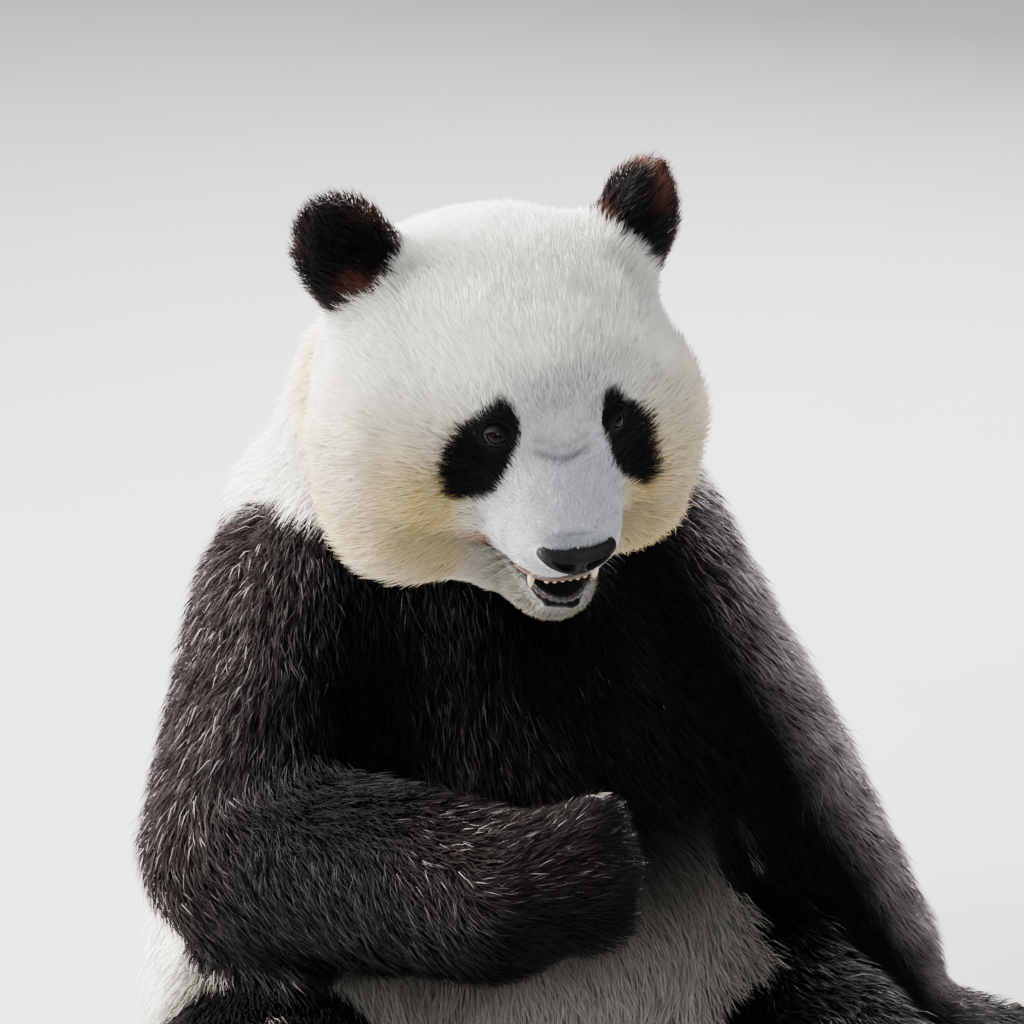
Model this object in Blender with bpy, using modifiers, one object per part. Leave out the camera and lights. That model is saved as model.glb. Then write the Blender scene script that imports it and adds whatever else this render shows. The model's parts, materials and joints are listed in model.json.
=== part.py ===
"""A giant panda that sits on its rump, life size, as a museum model.

The right forepaw is raised in front of the chest and half closed, the left one is planted on the floor
beside the body, and the hind legs lie forward with the soles turned up. The head looks a little to the
animal's right and down. Metres, +Z up, the chest faces -Y and the animal's left is +X. The origin is in
the middle of the flat that the rump rests on. Every solid reaches out to the tips of the coat.

The body is modelled whole: balls are bridged by hulls, and a voxel remesh runs them together. It is then
parted with a thin gap between neighbours. Rounded regions that follow the same balls take the limbs out of
the trunk, like balls out of sockets, and planes part the rest.
"""

import math

import bmesh
import bpy
from mathutils import Euler, Matrix, Vector
from mathutils.bvhtree import BVHTree

# ---------------------------------------------------------------- driving sizes

GAP = 0.0005  # air between two pieces that meet
MARGIN = 0.014  # how far the region of a piece reaches past its own balls
VOXEL = 0.0085  # grain of the remesh that runs the body together
SMOOTHING = 4  # passes that soften the places where two masses meet
BODY_TRIANGLES = 2600
DETAIL = 0.60  # share of the thinning that the paws and the head take
PAW_REACH = 2.2  # of that detail round the middle of a paw, in half widths of the paw
FACE_MIDDLE = Vector((0, 0, 0.040))  # in the head's own axes
FACE_REACH = 0.250
TINY = 0.000002  # edges shorter than this are closed up after a cut

RIGHT, LEFT = -1, 1  # the side of the animal, as the sign of x
SIDE_NAME = {RIGHT: "right", LEFT: "left"}

HEAD_CENTRE = Vector((-0.070, -0.185, 0.781))
HEAD_TURN = Euler((math.radians(7), 0, math.radians(-11)), "XYZ")  # nods, then turns to its right

MOUTH_CORNER = Vector((0.058, -0.134, -0.070))  # in the head's own axes
MOUTH_FRONT = -0.240  # where the two lines of the lips end, in front of the face
UPPER_LIP = -0.102  # heights of those ends
LOWER_LIP = -0.167
MOUTH_FRONT_WIDTH = 0.046
JAW_HINGE = Vector((0.058, -0.050, -0.095))
JAW_BOTTOM = -0.220  # anywhere below the chin

EYE_RADIUS = 0.0118
EYE_APART = 0.058  # from the middle of the face to the middle of an eye
EYE_HEIGHT = 0.035
EYE_DEPTH = 0.0125  # of the middle of the ball below the tips of the coat
SOCKET = Vector((0.020, 0.016, 0.012))  # half sizes of the hollow that the eye looks out of

NOSE_CENTRE = Vector((0, -0.198, -0.056))
NOSE_SIZE = Vector((0.0355, 0.018, 0.018))

TOE_FAN = math.radians(9)  # between one toe and the next
CLOSED_CURL = 45  # degrees a joint from which the toes lie side by side

CLAW_LENGTH = 0.040
CLAW_RADIUS = 0.0060
CLAW_ROOT = 0.016  # length of the claw inside the toe
CLAW_BEND = math.radians(55)
CLAW_STEPS = 3
CLAW_TAPER = 0.80  # how much of its radius a claw has lost at the tip

CANINE_APART = 0.022
CANINE_ALONG = -0.176
CANINE_RADIUS = 0.0050
CANINE_TIP = 0.3  # of the radius at the root
UPPER_CANINE = 0.021  # with the root that stands in the gum
LOWER_CANINE = 0.018
TOOTH_ROOT = 0.006
TONGUE_SIZE = Vector((0.021, 0.028, 0.0060))
TONGUE_ALONG = -0.158

CUT_DEPTH = 0.004  # of the cuts at the ears and the tail inside the mass they grow from
HEAD_FOOT = Vector((-0.060, -0.040, 0.726))  # where the head meets the neck
HEAD_FOOT_WAY = Vector((0, -0.60, 0.80))
NECK_FOOT = Vector((-0.015, 0, 0.612))  # where the neck meets the shoulders
NECK_FOOT_WAY = Vector((0, 0.03, 1))
BAND_FOOT = Vector((0, 0, 0.420))  # where the black band over the shoulders ends
BAND_FOOT_WAY = Vector((0, -0.30, 0.95))
WRIST_PLACE = {"forepaw_": 0.020, "hind_foot_": -0.030}  # from the last joint, along the limb

SHARP_ANGLE = math.radians(40)
BLACK_FUR = (0.012, 0.011, 0.013)
WHITE_FUR = (0.80, 0.76, 0.66)
EYE_BROWN = (0.030, 0.014, 0.008)
NOSE_GREY = (0.035, 0.033, 0.035)
TONGUE_PINK = (0.42, 0.16, 0.14)
HORN_BROWN = (0.10, 0.075, 0.055)

# ---------------------------------------------------------------- small helpers


def clear_scene():
    for old in list(bpy.data.objects):
        bpy.data.objects.remove(old)


def collection(name):
    made = bpy.data.collections.new(name)
    bpy.context.scene.collection.children.link(made)
    return made


def finish(name, colour, roughness):
    material = bpy.data.materials.new(name)
    material.use_nodes = True
    shader = material.node_tree.nodes["Principled BSDF"]
    shader.inputs["Base Color"].default_value = (*colour, 1)
    shader.inputs["Roughness"].default_value = roughness
    shader.inputs["Metallic"].default_value = 0
    return material


def object_from(shape, name, into):
    """Turns a bmesh into an object of the collection."""
    mesh_data = bpy.data.meshes.new(name)
    shape.to_mesh(mesh_data)
    shape.free()
    made = bpy.data.objects.new(name, mesh_data)
    into.objects.link(made)
    return made


def shape_of(source):
    """The shape of an object as its modifiers leave it, as a bmesh."""
    graph = bpy.context.evaluated_depsgraph_get()
    evaluated = source.evaluated_get(graph)
    shape = bmesh.new()
    mesh_data = evaluated.to_mesh()
    shape.from_mesh(mesh_data)
    evaluated.to_mesh_clear()
    return shape


def combined(first, second, operation, bench):
    """The Boolean of two bmeshes; both are used up."""
    base = object_from(first, "base", bench)
    tool = object_from(second, "tool", bench)
    cut = base.modifiers.new("cut", "BOOLEAN")
    cut.operation = operation
    cut.solver = "EXACT"
    cut.object = tool
    result = shape_of(base)
    for used in (base, tool):
        mesh_data = used.data
        bpy.data.objects.remove(used)
        bpy.data.meshes.remove(mesh_data)
    bmesh.ops.dissolve_degenerate(result, edges=result.edges[:], dist=TINY)
    return result


def islands(shape):
    """The loose bodies of a bmesh, each a set of its faces."""
    left_over = set(shape.faces)
    found = []
    while left_over:
        island, edge_of_search = set(), [left_over.pop()]
        while edge_of_search:
            face = edge_of_search.pop()
            island.add(face)
            for edge in face.edges:
                for neighbour in edge.link_faces:
                    if neighbour in left_over:
                        left_over.discard(neighbour)
                        edge_of_search.append(neighbour)
        found.append(island)
    return found


def largest_island(shape):
    """Drops the crumbs that a cut leaves and keeps the main body."""
    bodies = sorted(islands(shape), key=lambda body: sum(face.calc_area() for face in body))
    crumbs = [face for body in bodies[:-1] for face in body]
    bmesh.ops.delete(shape, geom=crumbs, context="FACES")
    loose = [vert for vert in shape.verts if not vert.link_faces]
    bmesh.ops.delete(shape, geom=loose, context="VERTS")
    return shape


# ---------------------------------------------------------------- balls and hulls


def ball(centre, radii, turn=None):
    """An ellipsoid, as (centre, radii, turn)."""
    size = Vector(radii) if hasattr(radii, "__len__") else Vector((radii,) * 3)
    return Vector(centre), size, turn if turn is not None else Matrix.Identity(3)


def hull(balls, margin=0.0, grain=3):
    """One convex mass around balls, each grown by the margin."""
    mass = bmesh.new()
    for centre, radii, turn in balls:
        place = Matrix.LocRotScale(centre, turn.to_quaternion(), radii + Vector((margin,) * 3))
        bmesh.ops.create_icosphere(mass, subdivisions=grain, radius=1, matrix=place)
    bmesh.ops.delete(mass, geom=mass.edges[:], context="EDGES_FACES")
    around = bmesh.ops.convex_hull(mass, input=mass.verts[:])
    bmesh.ops.delete(mass, geom=around["geom_interior"], context="VERTS")
    return mass


def add_chain(body, balls):
    """Adds balls to the body, each bridged to the next."""
    for pair in zip(balls, balls[1:]) if len(balls) > 1 else [balls]:
        mass = hull(pair)
        scrap = bpy.data.meshes.new("mass")
        mass.to_mesh(scrap)
        mass.free()
        body.from_mesh(scrap)
        bpy.data.meshes.remove(scrap)


# ---------------------------------------------------------------- trunk and neck

TRUNK = [
    ball((0, 0.037, 0.187), (0.295, 0.246, 0.200)),  # rump
    ball((-0.010, -0.070, 0.250), (0.245, 0.232, 0.212)),  # belly
    ball((-0.005, 0.015, 0.425), (0.228, 0.218, 0.190)),  # chest
    ball((-0.020, 0.036, 0.590), (0.192, 0.172, 0.125)),  # withers
]
NECK = [
    ball((-0.015, 0.020, 0.625), (0.176, 0.160, 0.115)),
    ball((-0.045, -0.050, 0.740), (0.148, 0.124, 0.116)),
]
TAIL = [ball((0, 0.255, 0.125), (0.058, 0.045, 0.055)), ball((0, 0.318, 0.066), (0.048, 0.036, 0.046))]

# ---------------------------------------------------------------- head


def head_point(x, y, z):
    """A place given in the head's own axes, in the frame of the whole animal."""
    return HEAD_CENTRE + HEAD_TURN.to_matrix() @ Vector((x, y, z))


def head_ball(x, y, z, radii, turn=None):
    own_turn = HEAD_TURN.to_matrix()
    return ball(head_point(x, y, z), radii, own_turn @ turn.to_matrix() if turn else own_turn)


def head_chains():
    skull = [
        head_ball(0, 0.015, 0.026, (0.164, 0.155, 0.144)),
        head_ball(0, -0.050, 0.044, (0.128, 0.110, 0.098)),
    ]
    muzzle = [
        head_ball(0, -0.100, -0.022, (0.078, 0.070, 0.072)),
        head_ball(0, -0.165, -0.054, (0.058, 0.046, 0.038)),
    ]
    chin = [
        head_ball(0, -0.060, -0.105, (0.075, 0.070, 0.052)),
        head_ball(0, -0.146, -0.114, (0.041, 0.045, 0.032)),
    ]
    chains = [skull, muzzle, chin]
    for side in (RIGHT, LEFT):
        cheek = head_ball(side * 0.101, -0.030, -0.012, (0.083, 0.100, 0.100))
        jowl = head_ball(side * 0.086, -0.037, -0.082, (0.087, 0.085, 0.066))
        chains.append([cheek, jowl])
    return chains


def ear(side):
    turn = Euler((math.radians(-6), math.radians(side * 20), math.radians(side * 38)))
    return head_ball(side * 0.138, 0.027, 0.144, (0.054, 0.030, 0.060), turn)


def lip_height(along, front):
    """Height of the line of a lip at a place along the mouth; front is the height that it ends at."""
    share = (MOUTH_CORNER.y - along) / (MOUTH_CORNER.y - MOUTH_FRONT)
    return MOUTH_CORNER.z + share * (front - MOUTH_CORNER.z)


def jaw_region(lip, margin):
    """A wedge under the line of a lip, from the hinge of the jaw to past the chin."""
    wedge = bmesh.new()
    wide, narrow = MOUTH_CORNER.x + margin, MOUTH_FRONT_WIDTH + margin
    back, front = JAW_HINGE.y + margin, MOUTH_FRONT - margin
    for side in (RIGHT, LEFT):
        for across, along, height in (
            (wide, MOUTH_CORNER.y, MOUTH_CORNER.z + margin),
            (wide, back, JAW_HINGE.z + margin),
            (wide, back, JAW_BOTTOM),
            (narrow, front, lip),
            (narrow, front, JAW_BOTTOM),
        ):
            wedge.verts.new(head_point(side * across, along, height))
    bmesh.ops.convex_hull(wedge, input=wedge.verts[:])
    return wedge


# ---------------------------------------------------------------- limbs


class Paw:
    """A paw in its own axes: x across, y from the heel to the toes, z out of its back.

    Its size is half its width, toe_reach is the length of a toe, and curl is in degrees a joint.
    The toes of an open paw stand apart, and those of a closed one lie side by side.
    """

    def __init__(self, heel, toes_towards, back_towards, size, toe_reach, curl):
        along = Vector(toes_towards).normalized()
        across = along.cross(Vector(back_towards)).normalized()
        self.axes = Matrix((across, along, across.cross(along))).transposed()
        self.heel = Vector(heel)
        self.size = size
        self.toe_reach = toe_reach
        self.curl = math.radians(curl)
        self.fan = TOE_FAN * max(0, 1 - curl / CLOSED_CURL)

    def point(self, x, y, z):
        return self.heel + self.axes @ Vector((x, y, z))

    def palm(self):
        width = self.size
        return [
            ball(self.point(0, 0, 0), (width * 0.82, width * 0.80, width * 0.72), self.axes),
            ball(self.point(0, width * 1.05, 0), (width, width * 0.62, width * 0.55), self.axes),
        ]

    def toe(self, number):
        """Three balls from the knuckle to the tip; number 0 to 4 runs across the paw."""
        place = number - 2
        sideways = self.fan * place
        at = self.size * Vector((place * 0.44, 1.30 - 0.06 * abs(place), -0.03))
        length = self.toe_reach * (1 - 0.07 * abs(place))
        joints = []
        for step in range(3):
            joints.append(ball(self.point(*at), self.size * (0.29 - 0.03 * step), self.axes))
            bend = self.curl * (step + 0.5)
            at = at + length / 2 * Vector(
                (math.sin(sideways) * math.cos(bend), math.cos(sideways) * math.cos(bend), -math.sin(bend))
            )
        return joints

    def chains(self):
        return [self.palm()] + [self.toe(number) for number in range(5)]

    def claw_place(self, number):
        """Where a claw leaves its toe: the point, the way out and the way that it bends."""
        toe = self.toe(number)
        out = (toe[2][0] - toe[1][0]).normalized()
        across = self.axes @ Vector((1, 0, 0))
        down = across.cross(out).normalized()
        if down.dot(self.axes @ Vector((0, 0, -1))) < 0:
            down = -down
        return toe[2][0] + out * self.size * 0.16, out, down


FOREPAW = {
    RIGHT: Paw((-0.182, -0.362, 0.399), (0.80, -0.55, 0.10), (-0.50, -0.80, 0.25), 0.068, 0.066, 70),
    LEFT: Paw((0.372, -0.215, 0.040), (0.72, -0.69, -0.05), (0, 0, 1), 0.064, 0.060, 6),
}
HIND_FOOT = {
    RIGHT: Paw((-0.352, -0.432, 0.070), (-0.28, -0.20, 0.94), (0.10, 0.98, 0.20), 0.066, 0.054, 9),
    LEFT: Paw((0.222, -0.545, 0.068), (0.16, -0.20, 0.96), (0, 0.98, 0.20), 0.066, 0.054, 9),
}
ARM = {
    RIGHT: [
        ball((-0.178, -0.010, 0.525), (0.102, 0.108, 0.122)),  # shoulder
        ball((-0.290, -0.085, 0.345), (0.092, 0.102, 0.098)),  # elbow
        ball((-0.182, -0.355, 0.385), (0.078, 0.078, 0.080)),  # wrist
    ],
    LEFT: [
        ball((0.180, 0.000, 0.515), (0.108, 0.108, 0.125)),
        ball((0.278, -0.110, 0.290), (0.096, 0.096, 0.100)),
        ball((0.348, -0.190, 0.112), (0.080, 0.078, 0.082)),
    ],
}
LEG = {
    RIGHT: [
        ball((-0.165, 0.020, 0.142), (0.148, 0.160, 0.148)),  # hip
        ball((-0.325, -0.205, 0.150), (0.108, 0.112, 0.108)),  # knee
        ball((-0.346, -0.420, 0.075), (0.073, 0.076, 0.082)),  # ankle
    ],
    LEFT: [
        ball((0.158, 0.010, 0.142), (0.146, 0.160, 0.148)),
        ball((0.196, -0.330, 0.098), (0.098, 0.110, 0.100)),
        ball((0.218, -0.530, 0.073), (0.073, 0.076, 0.080)),
    ],
}

# ---------------------------------------------------------------- the whole body


def whole_body(bench):
    """All masses run together, softened, thinned and cut flat at the floor."""
    body = bmesh.new()
    add_chain(body, TRUNK)
    add_chain(body, [TRUNK[0], TRUNK[2]])
    add_chain(body, NECK)
    add_chain(body, TAIL)
    for chain in head_chains():
        add_chain(body, chain)
    for side in (RIGHT, LEFT):
        add_chain(body, [ear(side)])
        add_chain(body, ARM[side])
        add_chain(body, LEG[side])
        for paw, limb in ((FOREPAW[side], ARM[side]), (HIND_FOOT[side], LEG[side])):
            add_chain(body, [limb[-1], paw.palm()[0]])
            for chain in paw.chains():
                add_chain(body, chain)
    whole = object_from(body, "whole", bench)
    remesh = whole.modifiers.new("run together", "REMESH")
    remesh.mode = "VOXEL"
    remesh.voxel_size = VOXEL
    soften = whole.modifiers.new("soften", "SMOOTH")
    soften.factor = 0.5
    soften.iterations = SMOOTHING
    fine = shape_of(whole)
    bpy.data.objects.remove(whole)

    triangles = 2 * len(fine.faces)
    fine_whole = object_from(fine, "fine", bench)
    plain = fine_whole.vertex_groups.new(name="plain")
    paws = (*FOREPAW.values(), *HIND_FOOT.values())
    detailed = [(paw.point(0, paw.size, 0), paw.size * PAW_REACH) for paw in paws]
    detailed.append((head_point(*FACE_MIDDLE), FACE_REACH))
    for vert in fine_whole.data.vertices:
        near = any((vert.co - centre).length < reach for centre, reach in detailed)
        plain.add([vert.index], DETAIL if near else 1, "REPLACE")
    thin = fine_whole.modifiers.new("thin out", "DECIMATE")
    thin.ratio = BODY_TRIANGLES / triangles
    thin.use_collapse_triangulate = True
    thin.vertex_group = plain.name
    body = shape_of(fine_whole)
    bpy.data.objects.remove(fine_whole)

    geometry = body.verts[:] + body.edges[:] + body.faces[:]
    bmesh.ops.bisect_plane(body, geom=geometry, plane_co=(0, 0, 0), plane_no=(0, 0, -1), clear_outer=True)
    rims = [edge for edge in body.edges if edge.is_boundary]
    bmesh.ops.holes_fill(body, edges=rims)
    bmesh.ops.triangulate(body, faces=body.faces[:])
    return body


def part_off(body, region, wider_region, bench):
    """Splits a body in two at a region: the piece inside it, and what is left outside."""
    inside = combined(body.copy(), region, "INTERSECT", bench)
    outside = combined(body, wider_region, "DIFFERENCE", bench)
    return largest_island(inside), largest_island(outside)


def split_by_plane(body, point, normal):
    """Splits a body at a plane: the half that the normal points to, then the other, a gap apart."""
    halves = []
    for sign in (1, -1):
        half = body.copy()
        away = Vector(normal).normalized() * sign
        place = Vector(point) + away * GAP / 2
        geometry = half.verts[:] + half.edges[:] + half.faces[:]
        bmesh.ops.bisect_plane(half, geom=geometry, plane_co=place, plane_no=-away, clear_outer=True)
        bmesh.ops.holes_fill(half, edges=[edge for edge in half.edges if edge.is_boundary])
        halves.append(largest_island(half))
    body.free()
    return halves


# ---------------------------------------------------------------- face


def grown_ball(centre, radii, turn, growth=0.0, segments=12, rings=6):
    """A ball as a bmesh, in segments and rings, its poles along its own y."""
    shape = bmesh.new()
    upright = Matrix.Rotation(math.radians(90), 3, "X")
    place = Matrix.LocRotScale(centre, turn.to_quaternion(), Vector(radii) + Vector((growth,) * 3))
    bmesh.ops.create_uvsphere(
        shape, u_segments=segments, v_segments=rings, radius=1, matrix=place @ upright.to_4x4()
    )
    bmesh.ops.triangulate(shape, faces=shape.faces[:])
    return shape


def eye_place(head, side):
    """Where the face meets the line of an eye, and the way out of the face there."""
    tree = BVHTree.FromBMesh(head)
    start = head_point(side * EYE_APART, -0.400, EYE_HEIGHT)
    towards = HEAD_TURN.to_matrix() @ Vector((0, 1, 0))
    spot, normal, _, _ = tree.ray_cast(start, towards)
    return spot, normal


def add_eyes(pieces, bench):
    places = {side: eye_place(pieces["head"], side) for side in (RIGHT, LEFT)}
    for side, (spot, normal) in places.items():
        outwards = normal.to_track_quat("Z", "Y").to_matrix()
        hollow = grown_ball(spot, SOCKET, outwards, segments=10, rings=6)
        pieces["head"] = combined(pieces["head"], hollow, "DIFFERENCE", bench)
    for side, (spot, normal) in places.items():
        centre = spot - normal * EYE_DEPTH
        outwards = (-normal).to_track_quat("Y", "Z").to_matrix()
        size = (EYE_RADIUS,) * 3
        pieces["eye_" + SIDE_NAME[side]] = grown_ball(centre, size, outwards)
        seat = grown_ball(centre, size, outwards, GAP)
        pieces["head"] = combined(pieces["head"], seat, "DIFFERENCE", bench)


def nose_pad(growth):
    """The bare pad: a ball that is wider above than below."""
    pad = bmesh.new()
    bmesh.ops.create_uvsphere(pad, u_segments=14, v_segments=7, radius=1)
    for vert in pad.verts:
        vert.co.x *= 1 + 0.28 * vert.co.z
    size = NOSE_SIZE + Vector((growth,) * 3)
    place = Matrix.LocRotScale(head_point(*NOSE_CENTRE), HEAD_TURN.to_quaternion(), size)
    bmesh.ops.transform(pad, matrix=place, verts=pad.verts[:])
    bmesh.ops.triangulate(pad, faces=pad.faces[:])
    return pad


def add_nose(pieces, bench):
    pieces["head"] = combined(pieces["head"], nose_pad(GAP), "DIFFERENCE", bench)
    pieces["nose"] = nose_pad(0)


def tooth(x, y, root, length):
    """A blunt cone in the head's own axes; a negative length points it up."""
    shape = bmesh.new()
    bmesh.ops.create_cone(
        shape, cap_ends=True, segments=6, depth=abs(length),
        radius1=CANINE_RADIUS, radius2=CANINE_RADIUS * CANINE_TIP,
    )
    flip = Matrix.Rotation(math.pi if length > 0 else 0, 3, "X")
    turn = (HEAD_TURN.to_matrix() @ flip).to_4x4()
    bmesh.ops.transform(shape, matrix=turn, verts=shape.verts[:])
    bmesh.ops.translate(shape, vec=head_point(x, y, root - length / 2), verts=shape.verts[:])
    bmesh.ops.triangulate(shape, faces=shape.faces[:])
    return shape


def add_jaw(pieces, bench):
    """The lower jaw, the teeth that the open lips show, and the tongue."""
    head = pieces["head"]
    jaw = largest_island(combined(head.copy(), jaw_region(LOWER_LIP, 0), "INTERSECT", bench))
    head = largest_island(combined(head, jaw_region(UPPER_LIP, GAP), "DIFFERENCE", bench))
    inner, behind = CANINE_APART - CANINE_RADIUS, CANINE_ALONG + 2 * CANINE_RADIUS
    upper_gum = lip_height(CANINE_ALONG, UPPER_LIP) + TOOTH_ROOT
    lower_gum = lip_height(behind, LOWER_LIP) - TOOTH_ROOT
    for side in (RIGHT, LEFT):
        upper_tooth = tooth(side * CANINE_APART, CANINE_ALONG, upper_gum, UPPER_CANINE)
        lower_tooth = tooth(side * inner, behind, lower_gum, -LOWER_CANINE)
        head = combined(head, upper_tooth, "UNION", bench)
        jaw = combined(jaw, lower_tooth, "UNION", bench)
    fall = math.atan2(MOUTH_CORNER.z - LOWER_LIP, MOUTH_CORNER.y - MOUTH_FRONT)
    height = lip_height(TONGUE_ALONG, LOWER_LIP)
    tongue = head_ball(0, TONGUE_ALONG, height, TONGUE_SIZE, Euler((fall, 0, 0)))
    pieces["tongue"] = hull([tongue], grain=2)
    pieces["jaw"] = combined(jaw, hull([tongue], GAP, grain=2), "DIFFERENCE", bench)
    pieces["head"] = head


# ---------------------------------------------------------------- claws


def claw(paw, number, growth, bench):
    """A horn that leaves the toe and bends down; grown a little, it is its own seat."""
    start, out, down = paw.claw_place(number)
    at = start - out * (CLAW_ROOT + growth)
    points = [at.copy()]
    for step in range(CLAW_STEPS):
        bend = CLAW_BEND * step / (CLAW_STEPS - 1)
        at = at + (out * math.cos(bend) + down * math.sin(bend)) * CLAW_LENGTH / CLAW_STEPS
        points.append(at.copy())
    path = bpy.data.curves.new("claw", "CURVE")
    path.dimensions = "3D"
    path.bevel_depth = CLAW_RADIUS
    path.bevel_resolution = 1
    path.use_fill_caps = True
    line = path.splines.new("POLY")
    line.points.add(len(points) - 1)
    for index, place in enumerate(points):
        line.points[index].co = (*place, 1)
        line.points[index].radius = 1 - CLAW_TAPER * (index / CLAW_STEPS) ** 1.6 + growth / CLAW_RADIUS
    horn = bpy.data.objects.new("claw", path)
    bench.objects.link(horn)
    bpy.context.view_layer.update()
    shape = shape_of(horn)
    bpy.data.objects.remove(horn)
    bmesh.ops.remove_doubles(shape, verts=shape.verts[:], dist=TINY)
    bmesh.ops.recalc_face_normals(shape, faces=shape.faces[:])
    bmesh.ops.triangulate(shape, faces=shape.faces[:])
    return shape


def add_claws(pieces, bench):
    for side in (RIGHT, LEFT):
        name = SIDE_NAME[side]
        for foot, paw in (("forepaw_", FOREPAW[side]), ("hind_foot_", HIND_FOOT[side])):
            for number in range(5):
                pieces["claw_" + foot + name + str(number + 1)] = claw(paw, number, 0, bench)
                seat = claw(paw, number, GAP, bench)
                pieces[foot + name] = combined(pieces[foot + name], seat, "DIFFERENCE", bench)


# ---------------------------------------------------------------- parting


def limb_region(upper, lower, margin, bench):
    """Two hulls that meet in the bend of a limb, as one region."""
    return combined(hull(upper, margin, grain=2), hull(lower, margin, grain=2), "UNION", bench)


def part_limbs(pieces, body, bench):
    """Takes each limb out of the body, and parts it at its bend and above its paw."""
    for side in (RIGHT, LEFT):
        name = SIDE_NAME[side]
        for upper, lower, foot, limb, paw in (
            ("upper_arm_", "forearm_", "forepaw_", ARM[side], FOREPAW[side]),
            ("thigh_", "shank_", "hind_foot_", LEG[side], HIND_FOOT[side]),
        ):
            root, middle, end = limb
            tips = [one for chain in paw.chains() for one in chain]
            upper_half, lower_half = [root, middle], [middle, end] + tips
            region = limb_region(upper_half, lower_half, MARGIN, bench)
            wider_region = limb_region(upper_half, lower_half, MARGIN + GAP, bench)
            whole_limb, body = part_off(body, region, wider_region, bench)
            upper_way = (middle[0] - root[0]).normalized()
            lower_way = (end[0] - middle[0]).normalized()
            lower_limb, pieces[upper + name] = split_by_plane(whole_limb, middle[0], upper_way + lower_way)
            paw_way = (tips[1][0] - end[0]).normalized()
            wrist = end[0] + lower_way * WRIST_PLACE[foot]
            wrist_way = lower_way * 2 + paw_way
            pieces[foot + name], pieces[lower + name] = split_by_plane(lower_limb, wrist, wrist_way)
    return body


def tangent_plane(around, towards):
    """The point and the normal of the plane that touches a ball on the side of another point."""
    centre, radii, turn = around
    normal = (towards - centre).normalized()
    own = turn.transposed() @ normal
    reach = Vector((own.x * radii.x, own.y * radii.y, own.z * radii.z)).length
    return centre + normal * (reach - CUT_DEPTH), normal


def add_all_pieces(bench):
    pieces = {}
    body = part_limbs(pieces, whole_body(bench), bench)
    pieces["tail"], body = split_by_plane(body, *tangent_plane(TRUNK[0], TAIL[-1][0]))
    head, body = split_by_plane(body, HEAD_FOOT, HEAD_FOOT_WAY)
    for side in (RIGHT, LEFT):
        skull = head_chains()[0][0]
        pieces["ear_" + SIDE_NAME[side]], head = split_by_plane(head, *tangent_plane(skull, ear(side)[0]))
    pieces["head"] = head
    pieces["neck"], body = split_by_plane(body, NECK_FOOT, NECK_FOOT_WAY)
    pieces["chest"], pieces["trunk"] = split_by_plane(body, BAND_FOOT, BAND_FOOT_WAY)
    add_eyes(pieces, bench)
    add_nose(pieces, bench)
    add_jaw(pieces, bench)
    add_claws(pieces, bench)
    return pieces


# ---------------------------------------------------------------- finishes


def finish_for(name, finishes):
    """The finish of a piece, from its name."""
    if name.startswith("eye"):
        return finishes["eye"]
    if name.startswith("claw"):
        return finishes["horn"]
    if name in ("nose", "tongue"):
        return finishes[name]
    white = ("head", "jaw", "neck", "trunk", "tail", "thigh_right", "thigh_left")
    return finishes["white_fur"] if name in white else finishes["black_fur"]


def main():
    clear_scene()
    bench = collection("bench")
    panda = collection("giant_panda")
    pieces = add_all_pieces(bench)
    bpy.data.collections.remove(bench)
    finishes = {
        "white_fur": finish("white_fur", WHITE_FUR, 0.85),
        "black_fur": finish("black_fur", BLACK_FUR, 0.75),
        "eye": finish("eye", EYE_BROWN, 0.10),
        "nose": finish("nose_leather", NOSE_GREY, 0.45),
        "tongue": finish("tongue", TONGUE_PINK, 0.40),
        "horn": finish("claw_horn", HORN_BROWN, 0.35),
    }
    for name, shape in pieces.items():
        bmesh.ops.triangulate(shape, faces=shape.faces[:])
        piece = object_from(shape, name, panda)
        piece.data.materials.append(finish_for(name, finishes))
        piece.data.shade_smooth()
        piece.data.set_sharp_from_angle(angle=SHARP_ANGLE)


main()
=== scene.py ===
# %% [markdown]
# # A giant panda with a coat of real tufts
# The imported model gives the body: its outline out to the tips of the coat, and the places of the eyes, the
# nose and the claws. This lesson dresses it. One skin is drawn over the whole body and sunk by the depth
# of the coat, the face is modelled on it, and nearly four hundred thousand small tufts grow out of it.

# %% Load the model
import json
import math

import bmesh
import bpy
import numpy as np
from mathutils import Euler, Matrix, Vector
from mathutils.bvhtree import BVHTree


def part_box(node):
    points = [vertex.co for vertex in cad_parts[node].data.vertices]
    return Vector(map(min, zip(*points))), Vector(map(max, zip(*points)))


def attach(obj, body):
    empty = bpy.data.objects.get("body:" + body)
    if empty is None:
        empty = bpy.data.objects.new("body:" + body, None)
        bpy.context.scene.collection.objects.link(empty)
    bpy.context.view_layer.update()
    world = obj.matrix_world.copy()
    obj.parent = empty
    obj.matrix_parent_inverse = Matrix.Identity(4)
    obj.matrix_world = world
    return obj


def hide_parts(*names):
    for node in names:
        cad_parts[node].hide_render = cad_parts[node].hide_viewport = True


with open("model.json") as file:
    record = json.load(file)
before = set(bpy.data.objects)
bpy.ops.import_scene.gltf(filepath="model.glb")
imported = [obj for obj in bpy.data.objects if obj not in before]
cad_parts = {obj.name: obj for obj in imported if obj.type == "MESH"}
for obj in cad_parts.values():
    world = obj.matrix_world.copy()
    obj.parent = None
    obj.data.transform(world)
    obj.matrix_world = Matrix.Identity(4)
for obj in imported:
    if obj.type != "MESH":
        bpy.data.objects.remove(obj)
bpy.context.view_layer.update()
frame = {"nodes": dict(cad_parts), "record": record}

MM = 0.001
RIGHT, LEFT = -1, 1  # the side of the animal, as the sign of x
SIDE_NAME = {RIGHT: "right", LEFT: "left"}
slot_of = {row["node"]: row["material_slot"] for row in frame["record"]["subparts"]}
FLESH = [node for node, slot in slot_of.items() if slot.endswith("_coat")]
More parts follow.
